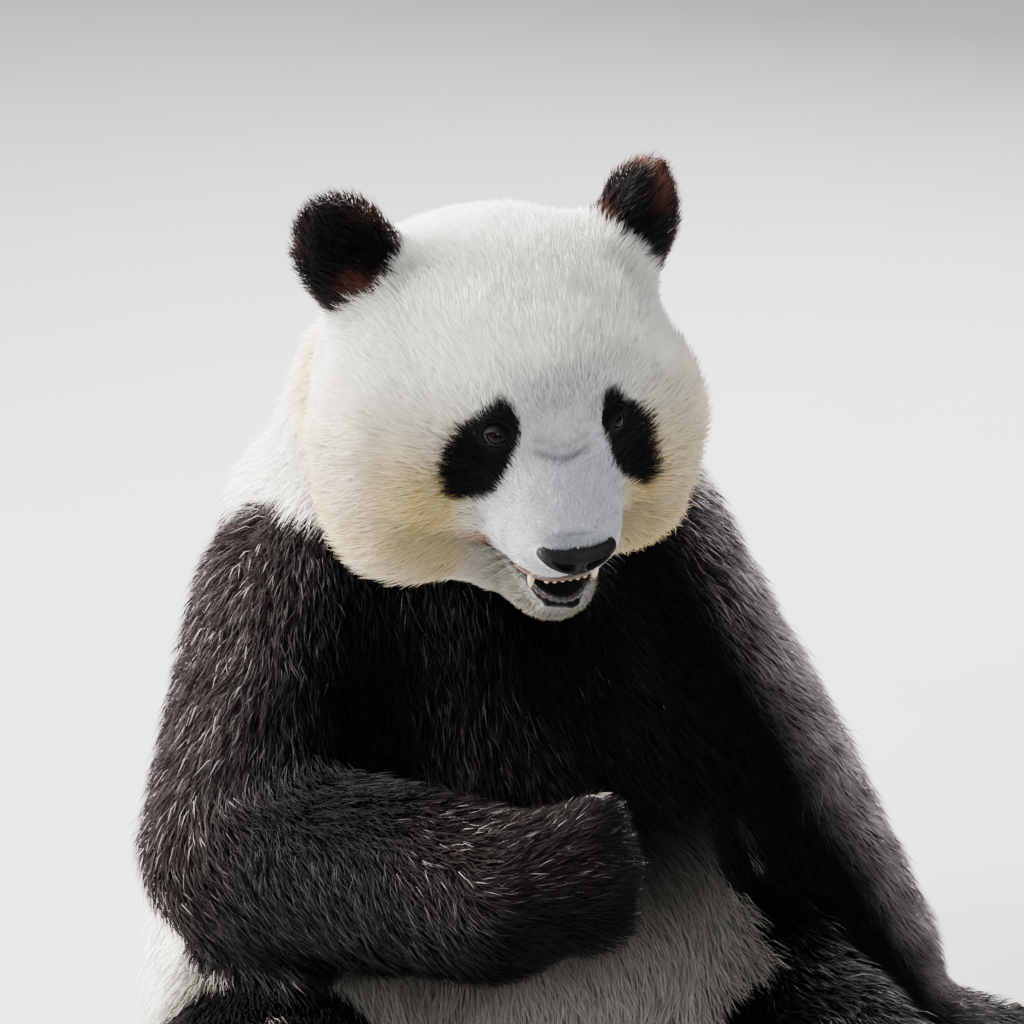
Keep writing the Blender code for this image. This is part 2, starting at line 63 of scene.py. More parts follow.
print("pieces of flesh:", len(FLESH), "of", len(slot_of), "nodes")

# %% [markdown]
# ## The camera
# A long lens, a little above the head and to the animal's right, looks at the chest. It comes first, so
# that every later step can be looked at through it.

# %% Camera
LOOK_AT = Vector((-0.009, -0.112, 0.630))
CAMERA_TURN, CAMERA_RISE = math.radians(-32), math.radians(22)
CAMERA_AWAY = 4.5
VIEW_WIDTH = 0.942  # what the picture takes in at the distance of the animal

camera_data = bpy.data.cameras.new("camera")
camera = bpy.data.objects.new("camera", camera_data)
bpy.context.scene.collection.objects.link(camera)
backwards = Vector((
    math.sin(CAMERA_TURN) * math.cos(CAMERA_RISE),
    -math.cos(CAMERA_TURN) * math.cos(CAMERA_RISE),
    math.sin(CAMERA_RISE),
))
camera.location = LOOK_AT + backwards * CAMERA_AWAY
camera.rotation_euler = (-backwards).to_track_quat("-Z", "Y").to_euler()
camera_data.lens = camera_data.sensor_width * CAMERA_AWAY / VIEW_WIDTH
bpy.context.scene.camera = camera
print("lens", round(camera_data.lens), "mm")

# %% [markdown]
# ## Helpers for shapes
# Long lists of points are handled as arrays, because a coat has more than a million of them.

# %% Arrays in and out of meshes
TINY = 1e-9  # keeps a division by a length of nothing from failing


def points_of(mesh):
    values = np.empty(len(mesh.vertices) * 3, np.float32)
    mesh.vertices.foreach_get("co", values)
    return values.reshape(-1, 3).astype(float)


def set_points(mesh, points):
    mesh.vertices.foreach_set("co", np.ascontiguousarray(points, np.float32).ravel())
    mesh.update()


def normals_of(mesh):
    values = np.empty(len(mesh.vertices) * 3, np.float32)
    mesh.vertex_normals.foreach_get("vector", values)
    return values.reshape(-1, 3).astype(float)


def unit(vectors):
    return vectors / np.maximum(np.linalg.norm(vectors, axis=-1, keepdims=True), TINY)


def dot(a, b):
    return (a * b).sum(axis=-1, keepdims=True)


# %% Soft steps and soft chance
WAVE_COUNT = 10  # waves that are added up in one field
WAVE_SPREAD = (0.6, 1.3)  # their frequencies, against the one asked for


def ease(value, start, end):
    """0 before start, 1 after end, and a soft step between them."""
    share = np.clip((value - start) / (end - start), 0, 1)
    return share * share * (3 - 2 * share)


def ease_down(value, start, end):
    return 1 - ease(value, start, end)


def mix(a, b, share):
    return a + (b - a) * share


def waves(points, size, seed):
    """A smooth random field from about -1 to 1 whose humps are about that size across."""
    random = np.random.default_rng(seed)
    ways = unit(random.normal(size=(WAVE_COUNT, 3))) * 2 * math.pi / size
    ways = ways * random.uniform(*WAVE_SPREAD, (WAVE_COUNT, 1))
    shifts = random.uniform(0, 2 * math.pi, WAVE_COUNT)
    return np.sin(points @ ways.T + shifts).mean(axis=1) * 2


# %% From a bmesh to an object


def object_of(mesh, name):
    made = bpy.data.objects.new(name, mesh)
    bpy.context.scene.collection.objects.link(made)
    return made


def object_from(shape, name):
    """Turns a bmesh into an object at the origin."""
    mesh = bpy.data.meshes.new(name)
    shape.to_mesh(mesh)
    shape.free()
    return object_of(mesh, name)


def smooth(thing):
    thing.data.shade_smooth()
    return thing


# %% [markdown]
# ## The frame of the head
# The face is described in the head's own axes: x to the animal's left, y to the back of the head, z up,
# with the middle of the nose as the origin. The head nods a little and turns to the animal's right.

# %% Axes of the head
HEAD_NOD, HEAD_YAW = math.radians(7), math.radians(-11)
HEAD_TURN = Euler((HEAD_NOD, 0, HEAD_YAW), "XYZ").to_matrix()


def middle(node):
    low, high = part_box(node)
    return (Vector(low) + Vector(high)) / 2


NOSE = middle("nose")
head_axes = np.array(HEAD_TURN)


def to_head(points):
    return (points - np.array(NOSE)) @ head_axes


def from_head(x, y, z):
    return NOSE + HEAD_TURN @ Vector((x, y, z))


EYE = {side: middle("eye_" + SIDE_NAME[side]) for side in (RIGHT, LEFT)}
low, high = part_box("eye_right")
EYE_RADIUS = (high[2] - low[2]) / 2
eye_in_head = {side: to_head(np.array(EYE[side])[None])[0] for side in (RIGHT, LEFT)}
print("eyes in the head's axes, mm:", {SIDE_NAME[s]: (p / MM).round(1) for s, p in eye_in_head.items()})

# %% [markdown]
# ## One skin over the whole body
# The solids meet with a thin gap. Each is grown by a hair, so that they run into each other, and a voxel
# remesh then makes one closed surface of them, with no seam. It is unwrapped while it is still plain.

# %% Wrap the flesh
GROW = 0.7 * MM
WELD = 0.01 * MM  # points of a solid that lie closer than this are one
GRAIN = 8.8 * MM
SOFTEN_SHARE, SOFTEN_ROUNDS = 0.5, 5

wrap = bmesh.new()
for node in FLESH:
    lump = bmesh.new()
    lump.from_mesh(frame["nodes"][node].data)
    bmesh.ops.remove_doubles(lump, verts=lump.verts[:], dist=WELD)
    lump.normal_update()
    for vert in lump.verts:
        vert.co += vert.normal * GROW
    scrap = bpy.data.meshes.new("lump")
    lump.to_mesh(scrap)
    lump.free()
    wrap.from_mesh(scrap)
    bpy.data.meshes.remove(scrap)
rough = object_from(wrap, "rough")
remesh = rough.modifiers.new("one surface", "REMESH")
remesh.mode = "VOXEL"
remesh.voxel_size = GRAIN
soften = rough.modifiers.new("soften", "SMOOTH")
soften.factor = SOFTEN_SHARE
soften.iterations = SOFTEN_ROUNDS
graph = bpy.context.evaluated_depsgraph_get()
skin_mesh = bpy.data.meshes.new_from_object(rough.evaluated_get(graph))
bpy.data.objects.remove(rough)
skin = object_of(skin_mesh, "skin")
print("skin:", len(skin_mesh.vertices), "points")

# %% Unwrap it
UNWRAP_ANGLE, UNWRAP_MARGIN = math.radians(70), 0.004
bpy.context.view_layer.objects.active = skin
skin.select_set(True)
bpy.ops.object.mode_set(mode="EDIT")
bpy.ops.mesh.select_all(action="SELECT")
bpy.ops.uv.smart_project(angle_limit=UNWRAP_ANGLE, island_margin=UNWRAP_MARGIN)
bpy.ops.object.mode_set(mode="OBJECT")
skin.select_set(False)
skin_mesh.uv_layers[0].name = "OFBake"
print("unwrapped", skin_mesh.uv_layers[0].name)

# %% [markdown]
# ## More points where the face needs them
# The body is smooth under its coat, but the lids, the lips and the rim of the nose are finer than the
# grain of the remesh. Rounds of subdivision, each in a smaller region, give them points to be shaped with.

# %% Refine the face
FACE_REACH = 0.112  # from a point on the bridge of the muzzle
MOUTH_REACH = (0.070, 0.052)  # one round for each distance
EYE_REACH = (0.036, 0.028, 0.021)
BRIDGE = from_head(0, 0.050, 0.040)
MOUTH = from_head(0, 0.034, -0.034)


def refine(shape, near):
    """Cuts each edge in two where both of its ends pass the test."""
    edges = [edge for edge in shape.edges if near(edge.verts[0].co) and near(edge.verts[1].co)]
    bmesh.ops.subdivide_edges(shape, edges=edges, cuts=1, use_grid_fill=True)
    bmesh.ops.triangulate(shape, faces=[face for face in shape.faces if len(face.verts) > 4])


shape = bmesh.new()
shape.from_mesh(skin_mesh)
refine(shape, lambda point: (point - BRIDGE).length < FACE_REACH)
for reach in MOUTH_REACH:
    refine(shape, lambda point: (point - MOUTH).length < reach)
for reach in EYE_REACH:
    refine(shape, lambda point: min((point - EYE[RIGHT]).length, (point - EYE[LEFT]).length) < reach)
bmesh.ops.triangulate(shape, faces=shape.faces[:])
shape.to_mesh(skin_mesh)
shape.free()
outer = points_of(skin_mesh)
outer_normals = normals_of(skin_mesh)
edge_pairs = np.empty(len(skin_mesh.edges) * 2, np.int32)
skin_mesh.edges.foreach_get("vertices", edge_pairs)
edge_pairs = edge_pairs.reshape(-1, 2)
print("refined:", len(outer), "points,", len(skin_mesh.polygons), "triangles")

# %% [markdown]
# ## What grows where
# A panda's coat is short on the muzzle and the feet and long and shaggy on the body. Each part of the body
# gets a row: how far the skin lies under the tips, and the length, the lift, the width and the number of
# its tufts. The rows are then spread over the skin, so that one part runs softly into the next.

# %% Rows of the coat
# part: depth mm, length mm, lift degrees, width mm, tufts a square centimetre
COAT_ROWS = {
    "head": (11, 22, 32, 0.90, 78),
    "jaw": (5, 12, 26, 0.8, 90),
    "ear": (8, 25, 50, 1.1, 75),
    "neck": (21, 40, 32, 1.3, 26),
    "chest": (15, 40, 31, 1.3, 23),
    "trunk": (17, 46, 32, 1.5, 18),
    "tail": (12, 40, 30, 2.0, 16),
    "upper_arm": (16, 38, 38, 1.1, 28),
    "forearm": (16, 38, 37, 1.1, 28),
    "forepaw": (10, 26, 36, 1.0, 44),
    "thigh": (15, 42, 32, 1.9, 16),
    "shank": (12, 36, 32, 1.8, 16),
    "hind_foot": (7, 18, 28, 1.4, 26),
}
HANG = 0.38  # how far the long coat of the limbs turns from their lengths to straight down
TOUCHING = 2 * MM  # points of two nodes that lie closer than this are on the cut between them
CLAW_NUMBERS = range(1, 6)


def row_of(node):
    return next(COAT_ROWS[part] for part in COAT_ROWS if node.startswith(part))


def meeting(first, second):
    """Middle of the cut between two nodes: the mean of the points of one that nearly touch the other."""
    other = BVHTree.FromObject(frame["nodes"][second], bpy.context.evaluated_depsgraph_get())
    near = []
    for vert in frame["nodes"][first].data.vertices:
        found = other.find_nearest(vert.co)
        if found[3] < TOUCHING:
            near.append(vert.co)
    return sum(near, Vector()) / len(near)


def claw_nodes(paw):
    return ["claw_" + paw + str(number) for number in CLAW_NUMBERS]


def tips_of(paw):
    """Middle of the claws of a paw."""
    places = [middle(node) for node in claw_nodes(paw)]
    return sum(places, Vector()) / len(places)


def hanging(way):
    return way.normalized() * (1 - HANG) + Vector((0, 0, -HANG))


ways = {"chest": Vector((0, -0.1, -1)), "trunk": Vector((0, -0.1, -1)), "neck": Vector((0, 0.55, -0.85))}
ways["head"], ways["jaw"] = Vector((0, 0.5, -0.5)), Vector((0, 0.5, -0.5))
ways["tail"] = middle("tail") - middle("trunk")
wrists, hips, knees = {}, {}, {}
for side in (RIGHT, LEFT):
    name = SIDE_NAME[side]
    ways["ear_" + name] = middle("ear_" + name) - middle("head")
    for upper, lower, paw, body in (
        ("upper_arm_", "forearm_", "forepaw_", "chest"),
        ("thigh_", "shank_", "hind_foot_", "trunk"),
    ):
        root = meeting(upper + name, body)
        bend = meeting(upper + name, lower + name)
        wrist = meeting(lower + name, paw + name)
        wrists[paw + name] = wrist
        hips[upper + name], knees[upper + name] = root, bend
        ways[upper + name] = hanging(bend - root)
        ways[lower + name] = hanging(wrist - bend)
        ways[paw + name] = tips_of(paw + name) - wrist
print("ways of the coat:", len(ways))

# %% Spread the rows over the skin
SPREAD_ROUNDS = 20  # about 20 mm of blending
EDGE_ROUNDS = 4  # for the edge of one part


def spread(values, rounds):
    """Averages a value over the neighbours on the skin, round after round."""
    count = len(values)
    first, second = edge_pairs[:, 0], edge_pairs[:, 1]
    links = 1 + np.bincount(first, minlength=count) + np.bincount(second, minlength=count)
    for _ in range(rounds):
        total = values.copy()
        for column in range(values.shape[1]):
            of_first, of_second = values[first, column], values[second, column]
            total[:, column] += np.bincount(first, weights=of_second, minlength=count)
            total[:, column] += np.bincount(second, weights=of_first, minlength=count)
        values = total / links[:, None]
    return values


def share_of(*nodes, rounds=EDGE_ROUNDS):
    """1 on the skin over these nodes and 0 elsewhere, with a soft edge."""
    mine = np.isin(owner, [FLESH.index(node) for node in nodes])
    return spread(mine[:, None].astype(float), rounds)[:, 0]


flesh_points, flesh_faces, flesh_owner = [], [], []
for number, node in enumerate(FLESH):
    mesh = frame["nodes"][node].data
    start = len(flesh_points)
    flesh_points += [vert.co.copy() for vert in mesh.vertices]
    for face in mesh.polygons:
        flesh_faces.append([start + index for index in face.vertices])
        flesh_owner.append(number)
flesh_tree = BVHTree.FromPolygons(flesh_points, flesh_faces)
owner = np.array([flesh_owner[flesh_tree.find_nearest(Vector(point))[2]] for point in outer])

rows = np.array([row_of(node) for node in FLESH], float)
way_rows = np.array([unit(np.array(ways[node])) for node in FLESH])
dark_rows = np.array([[float(slot_of[node] == "black_coat")] for node in FLESH])
fields = spread(np.hstack([rows, way_rows, dark_rows])[owner], SPREAD_ROUNDS)
depth, length, lift, width, crowd = fields[:, :5].T.copy()
way = fields[:, 5:8]
dark = fields[:, 8]
print("mean depth of the coat", round(float(depth.mean()), 1), "mm")

# %% [markdown]
# ## Where black meets white
# The black of the nodes is the rough plan. On the animal the hind legs are black from above the knee, and the
# belly's pale coat runs up the front of the chest. The left flank beside the arm is painted black, as shade.

# %% Socks, bib and painted shade on the left flank
SOCK = (0.66, 0.88)  # the black of a hind leg starts between these shares of the way from hip to knee
BIB_FRONT = (0.04, 0.12)  # the pale coat of the belly starts this far in front of the origin
BIB_TOP = (0.47, 0.55)  # and ends between these heights on the chest
BIB_MIDDLE, BIB_HALF = 0.02, (0.10, 0.18)
# painted shade: the left flank beside the arm is made black beyond a plane
FLANK_SHADE_SLOPE, FLANK_SHADE_EDGE = (0.959, -0.352, 0.518), 0.3735  # black beyond this plane on the left flank
FLANK_SHADE_SOFT = 0.012
FLANK_SHADE_BACK = (-0.02, 0.06)

for side in (RIGHT, LEFT):
    node = "thigh_" + SIDE_NAME[side]
    root, knee = np.array(hips[node]), np.array(knees[node])
    along = (outer - root) @ (knee - root) / ((knee - root) @ (knee - root))
    dark = np.maximum(dark, share_of(node) * ease(along, *SOCK))
bib = ease(-outer[:, 1], *BIB_FRONT) * ease_down(outer[:, 2], *BIB_TOP)
bib = bib * ease_down(np.abs(outer[:, 0] - BIB_MIDDLE), *BIB_HALF)
dark *= 1 - bib * share_of("chest", "trunk")
# painted shade: black coat on the left flank, where the arm shades it
flank_shade = ease(outer @ np.array(FLANK_SHADE_SLOPE) - FLANK_SHADE_EDGE, -FLANK_SHADE_SOFT, FLANK_SHADE_SOFT)
flank_shade = flank_shade * ease_down(outer[:, 1], *FLANK_SHADE_BACK)
dark = np.maximum(dark, flank_shade * share_of("trunk", "thigh_left"))
print("dark coat on", round(float(dark.mean()) * 100), "per cent of the points")

# %% [markdown]
# ## The coat of the head
# On the head the coat changes within a few centimetres: a few millimetres on the muzzle, short and dense
# round the eyes, and long on the cheeks. It parts at the nose and lies away from it over the whole face.

# %% Shapes on the face
PATCHES = {  # middle out and up from the eye, half width, half height, degrees of droop outwards
    RIGHT: (0.0097, -0.0178, 0.0238, 0.0500, 21),
    LEFT: (0.0150, -0.0250, 0.0225, 0.0575, 26),
}
PATCH_NARROW = 3.2  # a metre: how fast a patch narrows upwards
PATCH_RAGGED = 0.03  # how far its edge wanders, against its size
PATCH_BACK = (0.045, 0.070)  # it ends between these distances behind the eye
MUZZLE_LINE = ((0, 0.005, -0.015), (0, 0.062, 0.062))  # the muzzle lies round this line
MUZZLE_REACH = (0.046, 0.092)
CREASES = ((0.073, 1.0), (0.084, 0.55))  # height and strength of the folds across the bridge
CREASE_DIP, CREASE_WAVE, CREASE_BOW = 0.003, 0.008, 2.2  # how the line of a fold wanders and bows
CREASE_WIDTH, CREASE_HALF, CREASE_BACK = 0.0036, (0.016, 0.034), (0.060, 0.090)
CORNER = (0.064, -0.014)  # y and z in the head's axes
LIP_FRONT = -0.042
UPPER_FRONT, LOWER_FRONT = -0.046, -0.111  # heights of the two planes at that y
LIP_BAND = (2.2 * MM, 5.5 * MM)  # bare skin above the mouth and below it


def muzzle_share(head):
    """1 on the short coat of the muzzle, 0 on the cheeks and the forehead."""
    start, end = np.array(MUZZLE_LINE)
    along = np.clip(((head - start) @ (end - start)) / ((end - start) @ (end - start)), 0, 1)
    away = np.linalg.norm(head - (start + along[:, None] * (end - start)), axis=1)
    return ease_down(away, *MUZZLE_REACH)


def lip_height(y, front):
    return CORNER[1] + (CORNER[0] - y) / (CORNER[0] - LIP_FRONT) * (front - CORNER[1])


def patch_share(points, soft):
    """1 on the black patches round the eyes, narrower above the eye than below it."""
    head = to_head(points)
    inside = np.zeros(len(points))
    for side in (RIGHT, LEFT):
        from_eye = head - eye_in_head[side]
        out_shift, up_shift, half_width, half_height, droop = PATCHES[side]
        out, up = side * from_eye[:, 0] - out_shift, from_eye[:, 2] - up_shift
        droop = math.radians(droop)
        across = out * math.cos(droop) + up * math.sin(droop)
        along = -out * math.sin(droop) + up * math.cos(droop)
        ragged = PATCH_RAGGED * waves(points, 0.018, 21) + PATCH_RAGGED * waves(points, 0.007, 22)
        reach = np.hypot(across / half_width * (1 + PATCH_NARROW * along), along / half_height) + ragged
        front = ease_down(from_eye[:, 1], *PATCH_BACK)
        inside = np.maximum(inside, ease_down(reach, 1 - soft, 1 + soft) * front)
    return inside


def crease_share(points):
    """1 in the two folds across the bridge, where the short hair stands up and its roots and tips get painted
    shade.
    """
    head = to_head(points)
    folds = np.zeros(len(points))
    for height, strength in CREASES:
        middle_line = height - CREASE_DIP * np.cos(head[:, 0] / CREASE_WAVE) + CREASE_BOW * head[:, 0] ** 2
        fold = np.exp(-((head[:, 2] - middle_line) / CREASE_WIDTH) ** 2) * strength
        folds = np.maximum(folds, fold * ease_down(np.abs(head[:, 0]), *CREASE_HALF))
    return folds * ease_down(head[:, 1], *CREASE_BACK)


def eye_distance(points):
    return np.min([np.linalg.norm(points - np.array(EYE[side]), axis=1) for side in (RIGHT, LEFT)], axis=0)


# %% Where each shape lies on the skin
HEAD_ROUNDS = 6
SOFT_PATCH = 0.30  # the coat shortens towards a patch over this share of its size
EYE_RING = (0.015, 0.026)  # the coat shortens between these distances from an eye
CHEEK_SIDE, CHEEK_TOP, CHEEK_BACK = (0.060, 0.120), (0.060, 0.140), (0.040, 0.110)

head = to_head(outer)
head_share = share_of("head", "jaw", rounds=HEAD_ROUNDS)
muzzle = muzzle_share(head) * head_share
round_eye = patch_share(outer, SOFT_PATCH) * head_share
ring = ease_down(eye_distance(outer), *EYE_RING) * head_share
cheek = ease(np.abs(head[:, 0]), *CHEEK_SIDE) * ease_down(head[:, 2], *CHEEK_TOP) * head_share
cheek *= ease(head[:, 1], *CHEEK_BACK)
crease = crease_share(outer) * head_share
print("short coat on", int((muzzle > 0.5).sum()), "points of the muzzle")

# %% Lengths, lifts and numbers on the face
FACE_ROUNDS = 14  # smoothing of the depth over the face
BEARD = (0.006, 0.018)  # the hair grows longer between these distances below the lower lip
BEARD_BACK = (0.070, 0.110)
CREASE_LIFT = 42  # degrees

# in the units of COAT_ROWS: on the muzzle, round the eyes, at the lids and on the cheeks
for field, on_muzzle, at_eye, at_lids, on_cheek in (
    (depth, 2.4, 4.5, 2.5, 15),
    (length, 7.0, 10, 6.0, 33),
    (lift, 20, 22, 18, 37),
    (width, 0.68, 0.70, 0.55, 1.1),
    (crowd, 165, 150, 260, 60),
):
    field[:] = mix(field, on_cheek, cheek)
    field[:] = mix(field, at_eye, round_eye * (1 - 0.5 * muzzle))
    field[:] = mix(field, on_muzzle, muzzle * (1 - 0.6 * round_eye))
    field[:] = mix(field, at_lids, ring)
depth = mix(depth, spread(depth[:, None], FACE_ROUNDS)[:, 0], head_share)
beard = ease(lip_height(head[:, 1], LOWER_FRONT) - head[:, 2], *BEARD) * head_share
beard *= ease_down(head[:, 1], *BEARD_BACK)
for field, on_chin in ((length, 12), (lift, 30), (width, 0.75), (crowd, 120)):
    field[:] = mix(field, on_chin, beard)
lift = mix(lift, CREASE_LIFT, crease)
print("hair of the chin on", int((beard > 0.5).sum()), "points")

# %% Ways of the hair on the face
PARTING = np.array((0, -0.020, -0.004))  # the hair of the face lies away from this point
CHEEK_DROOP = 0.35
FACE_BACK = (0.150, 0.230)  # behind this the coat follows the neck
EYE_PARTING, EYE_PULL, FACE_PULL = (0.016, 0.034), 0.75, 0.6  # and near an eye it lies away from the eye

from_nose = head - PARTING
from_nose[:, 2] -= CHEEK_DROOP * cheek * np.linalg.norm(from_nose, axis=1)
over_face = unit(from_nose) @ head_axes.T
front_share = ease_down(head[:, 1], *FACE_BACK) * head_share
way = mix(way, over_face, front_share[:, None])
for side in (RIGHT, LEFT):
    from_eye = outer - np.array(EYE[side])
    near_eye = EYE_PULL * ease_down(np.linalg.norm(from_eye, axis=1), *EYE_PARTING)[:, None]
    way = mix(way, unit(from_eye) + FACE_PULL * over_face, near_eye)
way = unit(way)
print("hair of the face on", int((front_share > 0.5).sum()), "points")

# %% [markdown]
# ## The mouth
# The jaw hangs a little open. Two planes run from the corners of the mouth to the front, one under the
# upper lip and one over the lower. What lies between them is the mouth, bare and dark.

# %% Lips as planes
LIP_NARROW, LIP_WIDE = 0.55, 0.020  # the lower band is this share narrower at this distance from its middle
LIP_SOFT = 1.5 * MM
BAND_END, MOUTH_END = (-0.004, 0.006), (-0.001, 0.004)  # behind the corner
MOUTH_DEPTH = 0.6  # mm


def off_mouth(head):
    """How far a point lies above the upper lip or below the lower one; less than 0 in the mouth."""
    above = head[:, 2] - lip_height(head[:, 1], UPPER_FRONT)
    below = lip_height(head[:, 1], LOWER_FRONT) - head[:, 2]
    behind = head[:, 1] - CORNER[0]
    return np.maximum(above, below), above > below, behind


off, upper_side, behind = off_mouth(head)
lower_band = LIP_BAND[1] * (1 - LIP_NARROW * np.minimum(np.abs(head[:, 0]) / LIP_WIDE, 1) ** 2)
band = np.where(upper_side, LIP_BAND[0], lower_band) * ease_down(behind, *BAND_END)
in_mouth = ease_down(off, band * 0.5, band + LIP_SOFT) * ease_down(behind, *MOUTH_END) * head_share
depth = mix(depth, MOUTH_DEPTH, in_mouth)
print("points of the lips and the mouth:", int((in_mouth > 0.5).sum()))

# %% [markdown]
# ## Sink the skin under the coat
# The solids reach to the tips of the hairs, so the skin goes in by the depth of the coat. Where the animal
# rests on the floor its coat is pressed flat, and the skin comes down nearly to the floor.

# %% Sink
PRESSED = (0.004, 0.030)  # between these heights the weight presses the coat flat
FACING_DOWN = (0.5, 0.9)  # where the skin faces the floor
FLOOR_CLEAR = 4 * MM
NORMAL_ROUNDS, BODY_ROUNDS, FINE_ROUNDS, CHIN_ROUNDS = 6, 8, 3, 24
FINE_SHARE_SMOOTHED, CHIN_SHARE_SMOOTHED = 0.6, 0.85
CHIN_BELOW, CHIN_BACK = 4 * MM, (0.075, 0.100)

pressed = ease_down(outer[:, 2], *PRESSED) * ease(-outer_normals[:, 2], *FACING_DOWN)
sink = depth * MM * (1 - pressed) + FLOOR_CLEAR * pressed
soft_normals = unit(spread(outer_normals, NORMAL_ROUNDS))
inner = outer - soft_normals * sink[:, None]
plain = (1 - muzzle - round_eye - ring - in_mouth).clip(0, 1)[:, None]
inner = mix(inner, spread(inner, BODY_ROUNDS), plain)
inner = mix(inner, spread(inner, FINE_ROUNDS), FINE_SHARE_SMOOTHED * (1 - plain))
chin = ease(off, 0.0, CHIN_BELOW) * ~upper_side * ease_down(head[:, 1], *CHIN_BACK) * head_share
inner = mix(inner, spread(inner, CHIN_ROUNDS), CHIN_SHARE_SMOOTHED * chin[:, None])
print("sunk by up to", round(float(sink.max() / MM)), "mm")

# %% Close in on the nose
NOSE_HALF = (0.0355, 0.0180)  # half width and half height of the pad
NOSE_FRONT = -0.0172
NOSE_DIP = 0.0115  # the coat comes down over the middle of the pad
NOSE_TUCK = 2.5 * MM  # the skin's way under the rim of the pad
NOSE_HOLLOW = 24 * MM  # and behind its middle
WING_LIFT = 0.005  # the wings of the pad stand this much higher than its middle
SOCKET_BACK = 0.030
BESIDE_ROUNDS = 16

own = to_head(inner)
wings = np.clip(np.abs(own[:, 0]) / NOSE_HALF[0], 0, 1.3)
dip = NOSE_DIP * (1 - np.minimum(wings, 1) ** 2)
tall = own[:, 2] - WING_LIFT * wings ** 2
tall = np.where(tall > 0, tall / (NOSE_HALF[1] - dip), tall / NOSE_HALF[1])
pad_reach = np.hypot(wings, tall)
pad_front = NOSE_FRONT * np.sqrt(np.maximum(1 - np.minimum(pad_reach, 1) ** 2, 0))
pad_front += mix(NOSE_HOLLOW, NOSE_TUCK, ease(pad_reach, 0.60, 0.88))
socket = (own[:, 1] < SOCKET_BACK) * ease_down(pad_reach, 0.95, 1.25)
own[:, 1] = mix(own[:, 1], pad_front, socket)
inner = np.array(NOSE) + own @ head_axes.T
beside_pad = (own[:, 1] < SOCKET_BACK) * ease(pad_reach, 0.9, 1.1) * ease_down(pad_reach, 1.7, 2.3)
inner = mix(inner, spread(inner, BESIDE_ROUNDS), (beside_pad * (1 - in_mouth))[:, None])
print("points of the socket:", int((socket > 0.5).sum()))

# %% [markdown]
# ## Lids
# The eyes stand in the face like marbles in clay. Near each one the skin is laid over the ball, a little
# outside it, and inside the almond of the slit it goes back behind the front of the ball.

# %% Shape of the lids
SLIT = (0.0098, 0.0060, 0.0052)  # half width of the open eye, and its height above and below
SLIT_TILT = math.radians(18)  # the corner at the temple is the higher one
LID = 1.2 * MM
LID_BARE = 1.0 * MM  # width of the bare edge of a lid
LID_REACH = (0.0105, 0.0200)  # the lids run into the face between these distances
LID_FOLD = (0.0125, 0.0011, 1.6 * MM)  # distance, depth and width of the fold above the upper lid
FACE_ROUND_EYE = (0.020, 0.040)  # the face between these distances gives the eye its way out


def eye_axes(side):
    """Axes of an eye as columns: along the slit towards the temple, up, and out of the face."""
    away = np.linalg.norm(outer - np.array(EYE[side]), axis=1)
    near = (away > FACE_ROUND_EYE[0]) & (away < FACE_ROUND_EYE[1])
    out = Vector(unit(outer_normals[near].mean(axis=0)))
    up = HEAD_TURN @ Vector((0, 0, 1))
    up = (up - out * up.dot(out)).normalized()
    temple = up.cross(out) if side == RIGHT else out.cross(up)
    if temple.dot(HEAD_TURN @ Vector((side, 0, 0))) < 0:
        temple = -temple
    along = temple * math.cos(SLIT_TILT) + up * math.sin(SLIT_TILT)
    upright = up * math.cos(SLIT_TILT) - temple * math.sin(SLIT_TILT)
    return np.array((along, upright, out)).T


def slit_edge(along, above):
    """Height of the rim of the open slit; above is 1 for the upper lid and 0 for the lower."""
    share = np.clip(np.abs(along) / SLIT[0], 0, 1)
    return np.where(above, SLIT[1] * (1 - share ** 2.4), SLIT[2] * (1 - share ** 2.0))


eye_frames = {side: eye_axes(side) for side in (RIGHT, LEFT)}
print("eyes face", {SIDE_NAME[side]: axes[:, 2].round(2) for side, axes in eye_frames.items()})

# %% Lay the skin over the eyes
EYE_BOX = (-0.016, 0.030)  # only skin between these heights over the middle of the ball is moved
BALL_LOWEST = 0.45  # of the ball's radius: where the lid leaves the ball
SLIT_DEPTH = 0.30  # of the ball's radius: how high the skin stays inside the slit
ROUND_LIDS, LIDS_END, LID_ROUNDS = (0.0165, 0.019), (0.030, 0.038), 16

